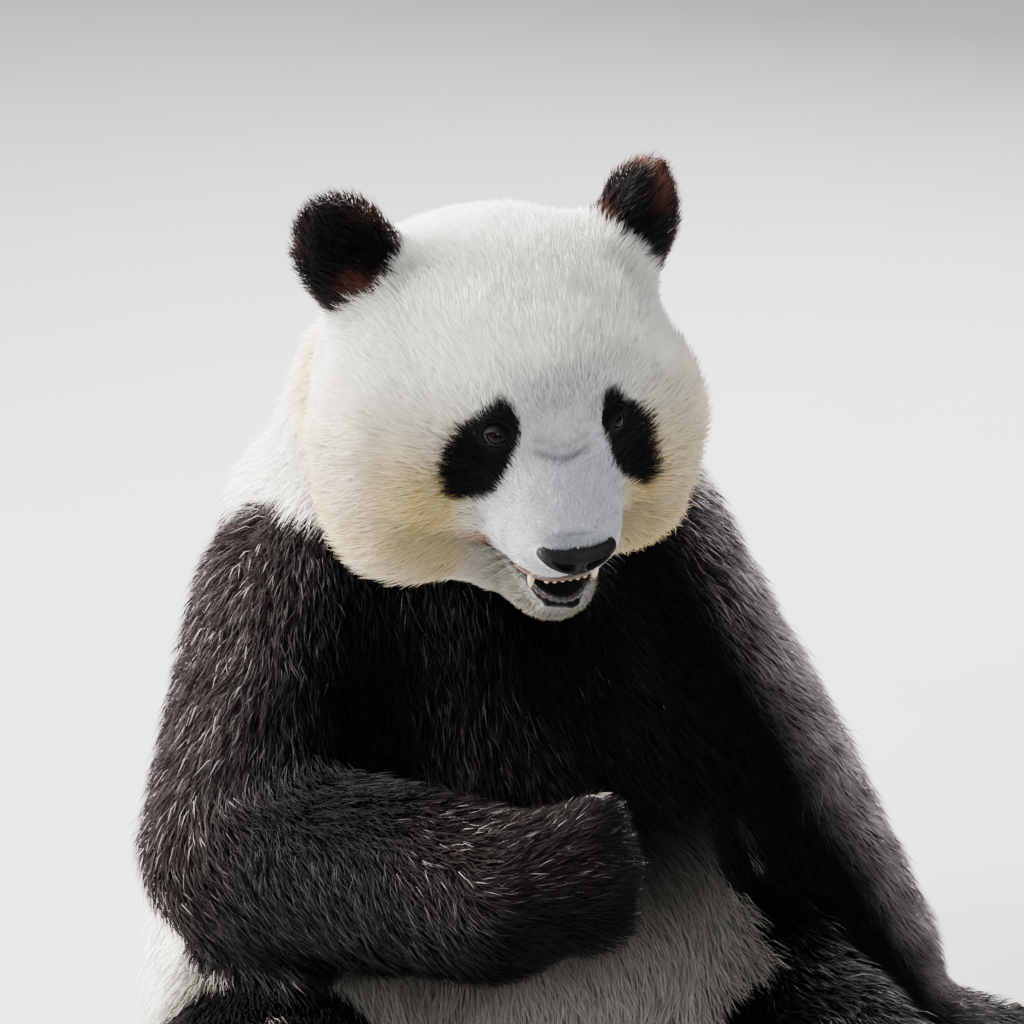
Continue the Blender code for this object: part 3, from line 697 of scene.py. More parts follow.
lid_share = np.zeros(len(inner))
for side, axes in eye_frames.items():
    own = (inner - np.array(EYE[side])) @ axes
    away = np.hypot(own[:, 0], own[:, 1])
    near = (away < LID_REACH[1] * 1.4) & (own[:, 2] > EYE_BOX[0]) & (own[:, 2] < EYE_BOX[1])
    ball = np.sqrt(np.maximum((EYE_RADIUS + LID) ** 2 - away ** 2, (BALL_LOWEST * EYE_RADIUS) ** 2))
    around = near & (away > LID_REACH[1] * 0.9)
    level = own[around, 2].mean()
    face_height = np.where(away < LID_REACH[1], np.maximum(own[:, 2], level - 2 * MM), own[:, 2])
    height = mix(ball, face_height, ease(away, *LID_REACH))
    fold = np.exp(-((away - LID_FOLD[0]) / LID_FOLD[2]) ** 2) * ease(own[:, 1], 0, 0.006)
    height -= LID_FOLD[1] * fold
    opened = 1 - np.abs(own[:, 1]) / np.maximum(slit_edge(own[:, 0], own[:, 1] > 0), 0.2 * MM)
    inside = near & (opened > 0) & (np.abs(own[:, 0]) < SLIT[0])
    height = np.where(inside, mix(height, EYE_RADIUS * SLIT_DEPTH, ease(opened, 0, 0.30)), height)
    inner += np.where(near, height - own[:, 2], 0)[:, None] * axes[:, 2]
    rim = slit_edge(own[:, 0] * SLIT[0] / (SLIT[0] + LID_BARE), own[:, 1] > 0) + LID_BARE
    outside = np.abs(own[:, 1]) / rim
    outside = np.maximum(outside, np.abs(own[:, 0]) / (SLIT[0] + LID_BARE))
    lid_share = np.maximum(lid_share, near * ease_down(outside, 0.92, 1.06))
from_eye = eye_distance(inner)
round_lids = ease(from_eye, *ROUND_LIDS) * ease_down(from_eye, *LIDS_END)
inner = mix(inner, spread(inner, LID_ROUNDS), round_lids[:, None])
inner[:, 2] = np.maximum(inner[:, 2], 0.5 * FLOOR_CLEAR)
set_points(skin_mesh, inner)
print("lids laid over", int((lid_share > 0.5).sum()), "points")

# %% [markdown]
# ## Strands
# Rims of lids, lips, gums, teeth, claws and whiskers are all strands: a path with a thickness that changes
# along it. Many of them become one mesh through one curve object.

# %% Strand helper


def strands(name, paths, sides=6, closed=False):
    """A mesh of round strands; a path is a list of (point, radius)."""
    curve = bpy.data.curves.new(name, "CURVE")
    curve.dimensions = "3D"
    curve.bevel_depth = 1.0
    curve.bevel_resolution = max(0, (sides - 4) // 2)
    curve.use_fill_caps = not closed
    curve.resolution_u = 1
    for path in paths:
        line = curve.splines.new("POLY")
        line.points.add(len(path) - 1)
        line.use_cyclic_u = closed
        line.use_smooth = True
        for point, (place, radius) in zip(line.points, path):
            point.co = (*place, 1)
            point.radius = radius
    holder = bpy.data.objects.new(name, curve)
    bpy.context.scene.collection.objects.link(holder)
    graph = bpy.context.evaluated_depsgraph_get()
    mesh = bpy.data.meshes.new_from_object(holder.evaluated_get(graph))
    bpy.data.objects.remove(holder)
    bpy.data.curves.remove(curve)
    mesh.name = name
    return smooth(object_of(mesh, name))


def finished(piece, slot, finish, *nodes):
    """Gives a piece its finish and hides the nodes that it stands for. The slot is not used."""
    piece.data.materials.clear()
    piece.data.materials.append(finish)
    if nodes:
        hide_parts(*nodes)
    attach(piece, "root")
    return piece


def paint(mesh, name, values):
    """Writes one number or one colour for each point of a mesh."""
    values = np.asarray(values, float)
    if values.ndim == 1:
        layer = mesh.attributes.new(name, "FLOAT", "POINT")
        layer.data.foreach_set("value", values.astype(np.float32))
    else:
        layer = mesh.attributes.new(name, "FLOAT_COLOR", "POINT")
        rgba = np.hstack([values, np.ones((len(values), 1))])
        layer.data.foreach_set("color", rgba.astype(np.float32).ravel())


def ball_shape(segments, rings):
    """Points on a ball of radius 1 and the bmesh that holds them."""
    shape = bmesh.new()
    bmesh.ops.create_uvsphere(shape, u_segments=segments, v_segments=rings, radius=1)
    return shape, np.array([vert.co for vert in shape.verts])


def shaped(shape, points, name):
    """Moves the points of a bmesh and makes an object of it."""
    for vert, point in zip(shape.verts, points):
        vert.co = point
    return smooth(object_from(shape, name))


# %% [markdown]
# ## Finishes of the bare parts
# Each finish reads an attribute of its own piece or the place in the model, so that nothing slides when the
# camera moves.

# %% Node helpers


def material(name, roughness, **sockets):
    """A new material and its shader; constants are set on the shader's own sockets."""
    made = bpy.data.materials.new(name)
    made.use_nodes = True
    shader = made.node_tree.nodes["Principled BSDF"]
    shader.inputs["Roughness"].default_value = roughness
    for socket, value in sockets.items():
        shader.inputs[socket.replace("_", " ")].default_value = value
    return made, shader


def add_node(made, kind, **settings):
    node = made.node_tree.nodes.new(kind)
    for key, value in settings.items():
        if key in node.inputs:
            node.inputs[key].default_value = value
        else:
            setattr(node, key, value)
    return node


def link(made, start, end):
    made.node_tree.links.new(start, end)


def noise_of(made, scale, detail=3.0):
    """Noise over the object's own coordinates; scale is in humps a metre."""
    place = add_node(made, "ShaderNodeTexCoord")
    noise = add_node(made, "ShaderNodeTexNoise", Scale=scale, Detail=detail)
    link(made, place.outputs["Object"], noise.inputs["Vector"])
    return noise.outputs["Fac"]


def pebbles_of(made, scale):
    """Distance to the middle of the nearest of many cells, for pebbled leather."""
    place = add_node(made, "ShaderNodeTexCoord")
    cells = add_node(made, "ShaderNodeTexVoronoi", Scale=scale)
    link(made, place.outputs["Object"], cells.inputs["Vector"])
    return cells.outputs["Distance"]


def ranged(made, value, low, high):
    """A value from 0 to 1, moved into another range."""
    node = add_node(made, "ShaderNodeMapRange")
    node.inputs["To Min"].default_value = low
    node.inputs["To Max"].default_value = high
    link(made, value, node.inputs["Value"])
    return node.outputs["Result"]


def ramp_of(made, value, *stops):
    """A colour ramp; a stop is (place, (red, green, blue))."""
    node = add_node(made, "ShaderNodeValToRGB")
    ramp = node.color_ramp
    while len(ramp.elements) < len(stops):
        ramp.elements.new(0.5)
    for element, (place, colour) in zip(ramp.elements, stops):
        element.position = place
        element.color = (*colour, 1)
    link(made, value, node.inputs["Fac"])
    return node.outputs["Color"]


def multiplied(made, colour, value):
    node = add_node(made, "ShaderNodeMix", data_type="RGBA", blend_type="MULTIPLY")
    node.inputs[0].default_value = 1
    link(made, colour, node.inputs[6])
    link(made, value, node.inputs[7])
    return node.outputs[2]


def bumped(made, shader, height, distance):
    bump = add_node(made, "ShaderNodeBump", Distance=distance)
    link(made, height, bump.inputs["Height"])
    link(made, bump.outputs["Normal"], shader.inputs["Normal"])


def attribute_of(made, name):
    return add_node(made, "ShaderNodeAttribute", attribute_name=name)


def mottled(name, roughness, scale, dark, light, bump=0.0, **sockets):
    """A finish whose colour wanders between two, with fine bumps."""
    made, shader = material(name, roughness, **sockets)
    noise = noise_of(made, scale, 4)
    link(made, ramp_of(made, noise, (0.30, dark), (0.70, light)), shader.inputs["Base Color"])
    link(made, ranged(made, noise, roughness * 0.8, roughness * 1.2), shader.inputs["Roughness"])
    if bump:
        bumped(made, shader, noise_of(made, scale * 6, 2), bump)
    return made


# %% [markdown]
# ## Eyes
# The ball is glossy and nearly black-brown. Its rings of colour come from the angle to the line of sight,
# which each point carries, so they sit where the eye looks: ahead and a little down.

# %% Finishes of the eyes
IRIS = math.radians(41)
CORNEA = 0.5 * MM  # how far it stands out of the ball
BALL_SHARE = 0.985  # the ball is a little smaller than its solid, so that the cornea fits in

eye_finish, eye_shader = material("eye", 0.04, IOR=1.25, Specular_IOR_Level=0.35)
gaze_angle = attribute_of(eye_finish, "gaze")
rings = ramp_of(
    eye_finish, gaze_angle.outputs["Fac"],
    (0.0, (0.001, 0.001, 0.001)), (0.20, (0.001, 0.001, 0.001)), (0.23, (0.004, 0.002, 0.001)),
    (0.38, (0.007, 0.0035, 0.002)), (0.46, (0.0015, 0.001, 0.001)), (0.54, (0.005, 0.0035, 0.003)),
    (1.0, (0.010, 0.006, 0.005)),
)
streaks = ranged(eye_finish, noise_of(eye_finish, 900, 2), 0.75, 1.25)
link(eye_finish, multiplied(eye_finish, rings, streaks), eye_shader.inputs["Base Color"])
LID_DARK, LID_LIGHT = (0.003, 0.0025, 0.0025), (0.010, 0.008, 0.007)
lid_finish = mottled("lid_rim", 0.50, 700, LID_DARK, LID_LIGHT, 0.0001, Specular_IOR_Level=0.3)
print("finishes:", eye_finish.name, lid_finish.name)

# %% Eyeballs and the rims of the lids
FORWARD = np.array(HEAD_TURN @ Vector((0, -1, -0.12)))
RIM_STEPS = 72
RIM_UPPER, RIM_LOWER = 0.55 * MM, 0.70 * MM  # thickness of the bare rims

for side in (RIGHT, LEFT):
    axes = eye_frames[side]
    shape, points = ball_shape(64, 48)
    gaze = unit(axes[:, 2] * 0.75 + FORWARD * 0.5)
    across = unit(np.cross(gaze, axes[:, 1]))
    turned = points @ np.array((across, np.cross(gaze, across), gaze))
    angle = np.arccos(np.clip(points[:, 2], -1, 1))
    bulge = CORNEA * ease_down(angle, 0.2, IRIS * 1.1)
    ball_points = np.array(EYE[side]) + turned * (EYE_RADIUS * BALL_SHARE + bulge)[:, None]
    ball = shaped(shape, ball_points, "eyeball_" + SIDE_NAME[side])
    paint(ball.data, "gaze", np.clip(angle / (math.pi / 2), 0, 1))
    finished(ball, "eye", eye_finish, "eye_" + SIDE_NAME[side])

    rim = []
    for step in range(RIM_STEPS):
        turn = 2 * math.pi * step / RIM_STEPS
        along = SLIT[0] * math.cos(turn)
        above = math.sin(turn) >= 0
        up = float(slit_edge(along, above)) * (1 if above else -1)
        out = math.sqrt(max((EYE_RADIUS + RIM_UPPER) ** 2 - along ** 2 - up ** 2, 0))
        thick = RIM_UPPER if above else RIM_LOWER
        rim.append((np.array(EYE[side]) + axes @ np.array((along * 1.02, up * 1.06, out)), thick))
    finished(strands("lid_rim_" + SIDE_NAME[side], [rim], sides=8, closed=True), "nose_leather", lid_finish)
print("eyes look along", [round(float(value), 2) for value in FORWARD])

# %% [markdown]
# ## Nose
# The pad starts as a ball. It is flattened in front, its wings are raised, it narrows to the lip, and the
# nostrils are pits that run out and up like commas.

# %% Nose pad
NOSTRIL = (  # out, up and radius of the pit, from its round end to its tail
    (0.0088, -0.0060, 0.0042),
    (0.0140, -0.0052, 0.0040),
    (0.0195, -0.0020, 0.0029),
    (0.0245, 0.0022, 0.0018),
)
NOSTRIL_DEPTH, NOSTRIL_SWELL = 0.0085, 0.0007
GROOVE_DEPTH, GROOVE_HALF = 0.0016, 0.0011  # the groove down from between the nostrils

shape, points = ball_shape(150, 90)
u, v, w = points.T
lower = np.clip(-w, 0, 1)
x = NOSE_HALF[0] * 1.03 * u * (1 - 0.30 * lower ** 1.5)
z = NOSE_HALF[1] * 1.02 * w + 0.0060 * np.abs(u) ** 2.2 - 0.0008
y = np.where(v < 0, NOSE_FRONT * np.abs(v) ** 0.75, 0.016 * v)
y += 0.0030 * np.clip(w, 0, 1) ** 2 + 0.0035 * lower ** 2
pit = np.zeros(len(x))
swell = np.zeros(len(x))
for side in (RIGHT, LEFT):
    for (x1, z1, r1), (x2, z2, r2) in zip(NOSTRIL, NOSTRIL[1:]):
        for share in np.linspace(0, 1, 6):
            away = np.hypot(x - side * mix(x1, x2, share), z - mix(z1, z2, share)) / mix(r1, r2, share)
            pit = np.maximum(pit, np.exp(-1.1 * away ** 3) * mix(r1, r2, share) / NOSTRIL[0][2])
            swell = np.maximum(swell, np.exp(-((away - 1.7) / 0.45) ** 2))
front = v < 0
y = y + front * (NOSTRIL_DEPTH * pit - NOSTRIL_SWELL * swell * (1 - pit))
groove = np.exp(-(x / GROOVE_HALF) ** 2) * ease_down(z, -0.004, 0.001) * front
y = y + GROOVE_DEPTH * groove
z = np.where(z > 0, z * (1 - NOSE_DIP / NOSE_HALF[1] * (1 - np.clip(np.abs(u), 0, 1) ** 2)), z)
nose_points = np.array(NOSE) + np.stack([x, y, z], axis=1) @ head_axes.T
nose_pad = shaped(shape, nose_points, "nose_pad")
# the pits and the groove are marked for painted shade in the leather
paint(nose_pad.data, "pit", np.clip(pit * front + 0.6 * groove, 0, 1))
print("nose pad:", len(nose_pad.data.polygons), "faces")

# %% Leather of the nose
NOSE_DARK, NOSE_LIGHT = (0.007, 0.007, 0.007), (0.017, 0.017, 0.016)
nose_finish, nose_shader = material("nose_leather", 0.5, Specular_IOR_Level=0.16)
leather = ramp_of(nose_finish, noise_of(nose_finish, 90, 4), (0.3, NOSE_DARK), (0.7, NOSE_LIGHT))
in_pit = attribute_of(nose_finish, "pit").outputs["Fac"]
# painted shade: the leather is darkened in the nostrils and in the groove
painted_pit_shade = ramp_of(nose_finish, in_pit, (0.15, (1, 1, 1)), (0.7, (0.12, 0.10, 0.10)))
link(nose_finish, multiplied(nose_finish, leather, painted_pit_shade), nose_shader.inputs["Base Color"])
nose_gloss = ranged(nose_finish, noise_of(nose_finish, 300), 0.42, 0.60)
link(nose_finish, nose_gloss, nose_shader.inputs["Roughness"])
bumped(nose_finish, nose_shader, pebbles_of(nose_finish, 620), 0.00035)
finished(nose_pad, "nose_leather", nose_finish, "nose")
print("finish:", nose_finish.name)

# %% [markdown]
# ## Lips, gums, teeth and tongue
# The lips follow the skin: rays from outside find it all round the mouth, just above the upper plane and
# just below the lower one. The lower lip hangs in small scallops.

# %% Find the lips
MOUTH_MIDDLE = 0.070  # y of the point that the rays go to
RAY_START = 0.12  # how far from it they start
RAY_ROUNDS, RAY_STEP = 24, 0.4
LIP_TURN = 86  # degrees from the front of the mouth to its corners
LIP_SOFTENING = 60
LIP_STEPS = 90
SCALLOPS = 26

skin_tree = BVHTree.FromObject(skin, bpy.context.evaluated_depsgraph_get())


def skin_from_outside(turn, front_height, shift):
    """Point of the muzzle's skin beside a lip plane, in the head's axes; turn runs round the mouth."""
    x, y = 0, 0.02
    for _ in range(RAY_ROUNDS):
        z = lip_height(y, front_height) + shift
        start = from_head(RAY_START * math.sin(turn), MOUTH_MIDDLE - RAY_START * math.cos(turn), z)
        goal = from_head(0, MOUTH_MIDDLE, z)
        found = skin_tree.ray_cast(start, (goal - start).normalized())[0]
        if found is None:
            break
        hit = to_head(np.array(found)[None])[0]
        x, y = mix(x, hit[0], RAY_STEP), min(mix(y, hit[1], RAY_STEP), CORNER[0])
    return np.array((x, y, lip_height(y, front_height)))


def lip_line(front_height, shift, inward):
    """A lip from the right corner to the left one."""
    line = []
    for step in range(LIP_STEPS + 1):
        turn = math.radians(mix(-LIP_TURN, LIP_TURN, step / LIP_STEPS))
        place = skin_from_outside(turn, front_height, shift)
        towards = np.array((-math.sin(turn), math.cos(turn), 0))
        line.append(place + towards * inward)
    line = np.array(line)
    for _ in range(LIP_SOFTENING):
        line[1:-1] = (line[:-2] + 2 * line[1:-1] + line[2:]) / 4
    return line


upper_lip = lip_line(UPPER_FRONT, 3.5 * MM, 1.2 * MM)
lower_lip = lip_line(LOWER_FRONT, -4 * MM, 1.5 * MM)
print("lips meet at", (upper_lip[0] / MM).round(), (lower_lip[0] / MM).round())

# %% Finishes of the mouth
lip_finish = mottled("lip", 0.34, 260, (0.008, 0.007, 0.008), (0.035, 0.026, 0.026), 0.0002, Coat_Weight=0.5)
gum_finish = mottled("gum", 0.35, 240, (0.085, 0.036, 0.027), (0.19, 0.088, 0.062), 0.0002, Coat_Weight=0.7)
tooth_finish = mottled("tooth", 0.30, 300, (0.62, 0.50, 0.30), (0.80, 0.70, 0.50), 0.0001, Coat_Weight=0.4)
tongue_finish = mottled("tongue", 0.45, 400, (0.075, 0.026, 0.024), (0.15, 0.058, 0.052), 0.0003,
                        Coat_Weight=0.3)
print("finishes:", [finish.name for finish in (lip_finish, gum_finish, tooth_finish, tongue_finish)])

# %% Lips and gums
ARCH_REACH = 0.62  # of a lip's length that has gum behind it
GUM_RADIUS = 3.6 * MM

share = np.linspace(0, 1, LIP_STEPS + 1)
to_corner = np.abs(2 * share - 1)
upper_path = [
    (from_head(x, y, z + 0.6 * MM), mix(1.5, 2.0, end ** 4) * MM)
    for (x, y, z), end in zip(upper_lip, to_corner)
]
scallop = 0.5 + 0.5 * np.cos(2 * math.pi * SCALLOPS * share)
lower_path = [
    (from_head(x, y, z + (1.2 - 0.8 * bump) * MM), (3.1 + 1.0 * bump - 1.2 * end ** 4) * MM)
    for (x, y, z), end, bump in zip(lower_lip, to_corner, scallop)
]
lips = strands("lips", [upper_path, lower_path], sides=12)
finished(lips, "nose_leather", lip_finish)


def arch(lip, height, inward, reach):
    """A part of a lip's line moved inwards and up, for what stands behind the lip."""
    line = []
    for (x, y, z), end in zip(lip, to_corner):
        if end < reach:
            middle_way = unit(np.array((-x, MOUTH_MIDDLE - y, 0)))
            line.append(np.array((x, y, z + height)) + middle_way * inward)
    return line


upper_arch = arch(upper_lip, -2.6 * MM, 4.2 * MM, ARCH_REACH)
lower_arch = arch(lower_lip, -1.2 * MM, 5.0 * MM, ARCH_REACH)
gum_paths = [[(from_head(*place), GUM_RADIUS) for place in line] for line in (upper_arch, lower_arch)]
gums = strands("gums", gum_paths, sides=10)
finished(gums, "tongue", gum_finish)
print("points along the gums:", len(upper_arch), len(lower_arch))

# %% [markdown]
# A bear has small front teeth in a row and long canines at their ends. Each is a short strand that keeps
# its width and then rounds off, and bends a little to the back. The tongue is a ball, drawn flat and long.

# %% Teeth
TOOTH_STEPS = 6
TOOTH_BEND = 1.2 * MM


def tooth(line, share, length, radius, down, blunt=5.0):
    """A tooth out of a gum; share runs along the arch from -1 to 1 and down is 1 or -1."""
    place = line[int(round((share + 1) / 2 * (len(line) - 1)))]
    path = []
    for step in range(TOOTH_STEPS + 1):
        t = step / TOOTH_STEPS
        bend = TOOTH_BEND * t * t
        at = place + np.array((0, bend, -down * length * t))
        path.append((from_head(*at), radius * math.sqrt(max(1 - t ** blunt, 0.02))))
    return path


teeth = []
for side in (RIGHT, LEFT):
    teeth.append(tooth(upper_arch, 0.66 * side, 15 * MM, 3.4 * MM, 1, 2.4))
    teeth.append(tooth(lower_arch, 0.70 * side, 11 * MM, 3.0 * MM, -1, 2.4))
    for number in range(3):
        place = side * (0.075 + 0.150 * number)
        teeth.append(tooth(upper_arch, place, (4.6 + 0.4 * number) * MM, (2.5 + 0.1 * number) * MM, 1))
        teeth.append(tooth(lower_arch, place, (3.6 + 0.4 * number) * MM, (2.1 + 0.1 * number) * MM, -1))
finished(strands("teeth", teeth, sides=12), "claw_horn", tooth_finish)
print("teeth:", len(teeth))

# %% Tongue
TONGUE_MIDDLE, TONGUE_HALF = (0, 0.052, -0.034), (0.0185, 0.024, 0.0055)
shape, points = ball_shape(48, 32)
u, v, w = points.T
slope = math.atan2(CORNER[1] - LOWER_FRONT, CORNER[0] - LIP_FRONT)
x = TONGUE_HALF[0] * u * (1 - 0.18 * np.clip(-v, 0, 1) ** 2)
along, up = TONGUE_HALF[1] * v, TONGUE_HALF[2] * w
up = up - 0.0016 * np.exp(-(x / 0.0025) ** 2) * (w > 0) + 0.0025 * np.abs(u) ** 2
y = TONGUE_MIDDLE[1] + along * math.cos(slope) - up * math.sin(slope)
z = TONGUE_MIDDLE[2] + along * math.sin(slope) + up * math.cos(slope)
tongue_points = np.array(NOSE) + np.stack([x, y, z], axis=1) @ head_axes.T
finished(shaped(shape, tongue_points, "tongue_piece"), "tongue", tongue_finish, "tongue")
print("tongue slopes by", round(math.degrees(slope)), "degrees")

# %% [markdown]
# Whiskers stand in three rows on each side of the muzzle, thin and a little drooping. Rays from beside the
# head find their roots on the skin.

# %% Whiskers
WHISKER = (0.16 * MM, 24 * MM)  # radius at the root and length of the shortest one
WHISKER_COUNT, WHISKER_STEPS, WHISKER_DROOP = 9, 8, 0.007
whisker_finish = mottled("whisker", 0.5, 300, (0.30, 0.28, 0.25), (0.62, 0.58, 0.52))
whiskers = []
for side in (RIGHT, LEFT):
    for number in range(WHISKER_COUNT):
        row, place = divmod(number, 3)
        y, z = 0.022 + 0.013 * place, -0.014 - 0.007 * row
        start = from_head(side * 0.10, y, z)
        goal = from_head(0, y + 0.012, z)
        found = skin_tree.ray_cast(start, (goal - start).normalized())[0]
        if found is None:
            continue
        out = (HEAD_TURN @ Vector((side, 0.30 + 0.12 * place, -0.25 - 0.15 * row))).normalized()
        path = []
        for step in range(WHISKER_STEPS + 1):
            t = step / WHISKER_STEPS
            droop = Vector((0, 0, -WHISKER_DROOP * t * t))
            path.append((found + out * (WHISKER[1] + 4 * MM * place) * t + droop, WHISKER[0] * (1 - 0.8 * t)))
        whiskers.append(path)
finished(strands("whiskers", whiskers, sides=5), "white_coat", whisker_finish)
print("whiskers:", len(whiskers))

# %% [markdown]
# ## Claws and pads
# A claw keeps the place of its solid: a curved horn from inside the toe, through the middle of the solid,
# to its tip. The soles have a pad under each toe and a long one behind them.

# %% Horn
claw_finish, claw_shader = material("claw_horn", 0.32, Coat_Weight=0.3)
horn_colour = ramp_of(
    claw_finish, attribute_of(claw_finish, "tip").outputs["Fac"],
    (0.0, (0.030, 0.024, 0.020)), (0.45, (0.070, 0.052, 0.040)), (1.0, (0.24, 0.19, 0.14)),
)
grain = ranged(claw_finish, noise_of(claw_finish, 500, 4), 0.8, 1.2)
link(claw_finish, multiplied(claw_finish, horn_colour, grain), claw_shader.inputs["Base Color"])
bumped(claw_finish, claw_shader, noise_of(claw_finish, 900, 2), 0.0001)
print("finish:", claw_finish.name)

# %% Claws
CLAW_STEPS = 12
CLAW_ROOT = 0.012  # how far the horn goes on inside the toe
CLAW_THIN = 0.2 * MM  # radius left at the tip
CLAW_LENGTH = 0.022  # over which its colour runs from root to tip
BASE_PART = 0.25  # of a claw's length at either side of its middle, and at its base

PAWS = [foot + SIDE_NAME[side] for side in (RIGHT, LEFT) for foot in ("forepaw_", "hind_foot_")]
claw_base, claw_way = {}, {}
for paw in PAWS:
    horns = []
    nodes = claw_nodes(paw)
    for node in nodes:
        points = points_of(frame["nodes"][node].data)
        centre = points.mean(axis=0)
        main = np.linalg.svd(points - centre)[2][0]
        reach = (points - centre) @ main
        ends = [centre + main * end - np.array(wrists[paw]) for end in (reach.max(), reach.min())]
        if np.linalg.norm(ends[0]) < np.linalg.norm(ends[1]):
            main, reach = -main, -reach
        base_points = points[reach < reach.min() + BASE_PART * np.ptp(reach)]
        tip = points[reach.argmax()]
        base = base_points.mean(axis=0)
        beside = base_points - base - ((base_points - base) @ main)[:, None] * main
        radius = float(np.linalg.norm(beside, axis=1).max())
        middle_points = points[np.abs(reach) < BASE_PART * np.ptp(reach)]
        bend = middle_points.mean(axis=0)
        path = []
        for step in range(CLAW_STEPS + 1):
            t = step / CLAW_STEPS
            place = base * (1 - t) ** 2 + (2 * bend - (base + tip) / 2) * 2 * t * (1 - t) + tip * t ** 2
            path.append((place, radius * (1 - t ** 1.5) + CLAW_THIN))
        horns.append([(base - main * CLAW_ROOT, radius)] + path)
        claw_base[node], claw_way[node] = base, main
    claws = strands("claws_" + paw, horns, sides=12)
    points = points_of(claws.data)
    from_base = np.min([np.linalg.norm(points - claw_base[node], axis=1) for node in nodes], axis=0)
    paint(claws.data, "tip", np.clip(from_base / CLAW_LENGTH, 0, 1))
    finished(claws, "claw_horn", claw_finish, *nodes)
print("claws:", len(claw_base))

# %% Pads of the soles
PAD = (0.0100, 0.0060, 0.0125)  # half sizes of a toe's pad: across, out, along
PALM_PAD = (0.038, 0.0075, 0.017)
PAD_BACK, PALM_BACK = 0.016, 0.050  # how far behind the claws they lie
PAD_RAY = 0.08  # from this far outside the sole a ray looks for the skin
PAD_LOWEST = 0.8 * MM
PAD_DARK, PAD_LIGHT = (0.020, 0.016, 0.015), (0.055, 0.042, 0.038)

pad_finish, pad_shader = material("pad_leather", 0.55)
pad_noise = noise_of(pad_finish, 120, 4)
pad_colour = ramp_of(pad_finish, pad_noise, (0.3, PAD_DARK), (0.7, PAD_LIGHT))
link(pad_finish, pad_colour, pad_shader.inputs["Base Color"])
bumped(pad_finish, pad_shader, pebbles_of(pad_finish, 420), 0.0006)

pad_places = []
for paw in PAWS:
    toes = [claw_base[node] for node in claw_nodes(paw)]
    across = unit(toes[4] - toes[0])
    along = unit(np.mean(toes, axis=0) - np.array(wrists[paw]))
    along = unit(along - across * (along @ across))
    sole = unit(np.cross(across, along))
    if sole @ np.mean([claw_way[node] for node in claw_nodes(paw)], axis=0) < 0:
        sole = -sole
    shapes = bmesh.new()
    goals = [(toe - along * PAD_BACK, PAD) for toe in toes]
    goals.append((np.mean(toes, axis=0) - along * PALM_BACK, PALM_PAD))
    for goal, half in goals:
        start = goal + sole * PAD_RAY
        found = skin_tree.ray_cast(Vector(start), Vector(-sole), 2 * PAD_RAY)
        if found[0] is None:
            continue
        place = np.array(found[0])
        lump, points = ball_shape(24, 16)
        for vert, (x, y, z) in zip(lump.verts, points * np.array(half)):
            vert.co = place + across * x + sole * y + along * z
            vert.co.z = max(vert.co.z, PAD_LOWEST)
        scrap = bpy.data.meshes.new("pad")
        lump.to_mesh(scrap)
        lump.free()
        shapes.from_mesh(scrap)
        bpy.data.meshes.remove(scrap)
        pad_places.append((place, max(half[0], half[2])))
    finished(smooth(object_from(shapes, "pads_" + paw)), "nose_leather", pad_finish)
print("pads:", len(pad_places))

# %% [markdown]
# ## Markings
# One function says what colour the coat has at a place. The skin and every tuft ask the same function, so
# their markings agree. Black and white meet in a ragged line, because each tuft is wholly one or the other.

# %% Colours of the coat
WHITE = np.array((0.93, 0.915, 0.87))
CREAM = np.array((0.74, 0.58, 0.28))
SHADED_MUZZLE_WHITE = np.array((0.84, 0.86, 0.90))
CHIN_PAINTED_SHADE = np.array((0.15, 0.14, 0.09))
BELLY_SHADE_GREY = np.array((0.33, 0.305, 0.27))
BELLY_DEEP_SHADE = np.array((0.010, 0.0085, 0.0075))
BLACK = np.array((0.0032, 0.0030, 0.0036))
BLACK_TIP = np.array((0.0080, 0.0070, 0.0076))
# painted highlights: brown and nearly white glints on the tips of black hair
GLINT_BROWN_TIP = np.array((0.040, 0.026, 0.026))
GLINT_PALE_TIP = np.array((0.46, 0.41, 0.42))
# painted sheen: red-brown tips on the black hair of the ears
EAR_SHEEN_BROWN = np.array((0.16, 0.060, 0.040))
STAIN = np.array((0.38, 0.19, 0.08))
LIP_LINE = np.array((0.045, 0.030, 0.022))
ROOT_SHADE = np.array((0.82, 0.80, 0.76))  # white hairs are a little darker at their roots
# painted shade at the roots of the muzzle's hair and in the folds across the bridge
MUZZLE_SHADE = np.array((0.38, 0.39, 0.43))
CREASE_SHADE = np.array((0.24, 0.24, 0.25))
HEAD_MIDDLE, HEAD_REACH = np.array((0, 0.13, 0.08)), (0.22, 0.27)  # in the head's axes
print("white and black of the coat:", WHITE, BLACK)

# %% Black or white
PATCH_EDGE = 0.07  # softness of the edge of an eye patch


def near_head(points):
    """1 on the head and the ears, 0 on the body."""
    return ease_down(np.linalg.norm(to_head(points) - HEAD_MIDDLE, axis=1), *HEAD_REACH)


def blackness(points, dark):
    """0 on white coat, 1 on black; dark is the soft field of the body's black parts."""
    ragged = 0.10 * waves(points, 0.050, 3) + 0.06 * waves(points, 0.016, 4)
    return np.maximum(ease(dark + ragged, 0.44, 0.56), patch_share(points, PATCH_EDGE))


# %% Tones of the white coat
LOW_FACE, SIDE_FACE = (0.015, 0.125), (0.044, 0.082)  # cream on the lower cheeks
STAIN_PLACE, STAIN_REACH = (0.056, CORNER[0] + 0.003, CORNER[1] + 0.001), (0.005, 0.019)
CHIN_DROP, CHIN_REACH = 0.012, (0.06, 0.12)  # painted shade on the chin below the lower lip
LIP_ABOVE, LIP_BELOW, LIP_LINE_END = (0.0010, 0.0040), (0.0040, 0.0075), 0.007
# painted shade on the belly: grey low down, nearly black higher up under the head
BELLY_FRONT, BELLY_TOP, BELLY_DARK = (0.02, 0.12), (0.54, 0.60), (0.17, 0.36)


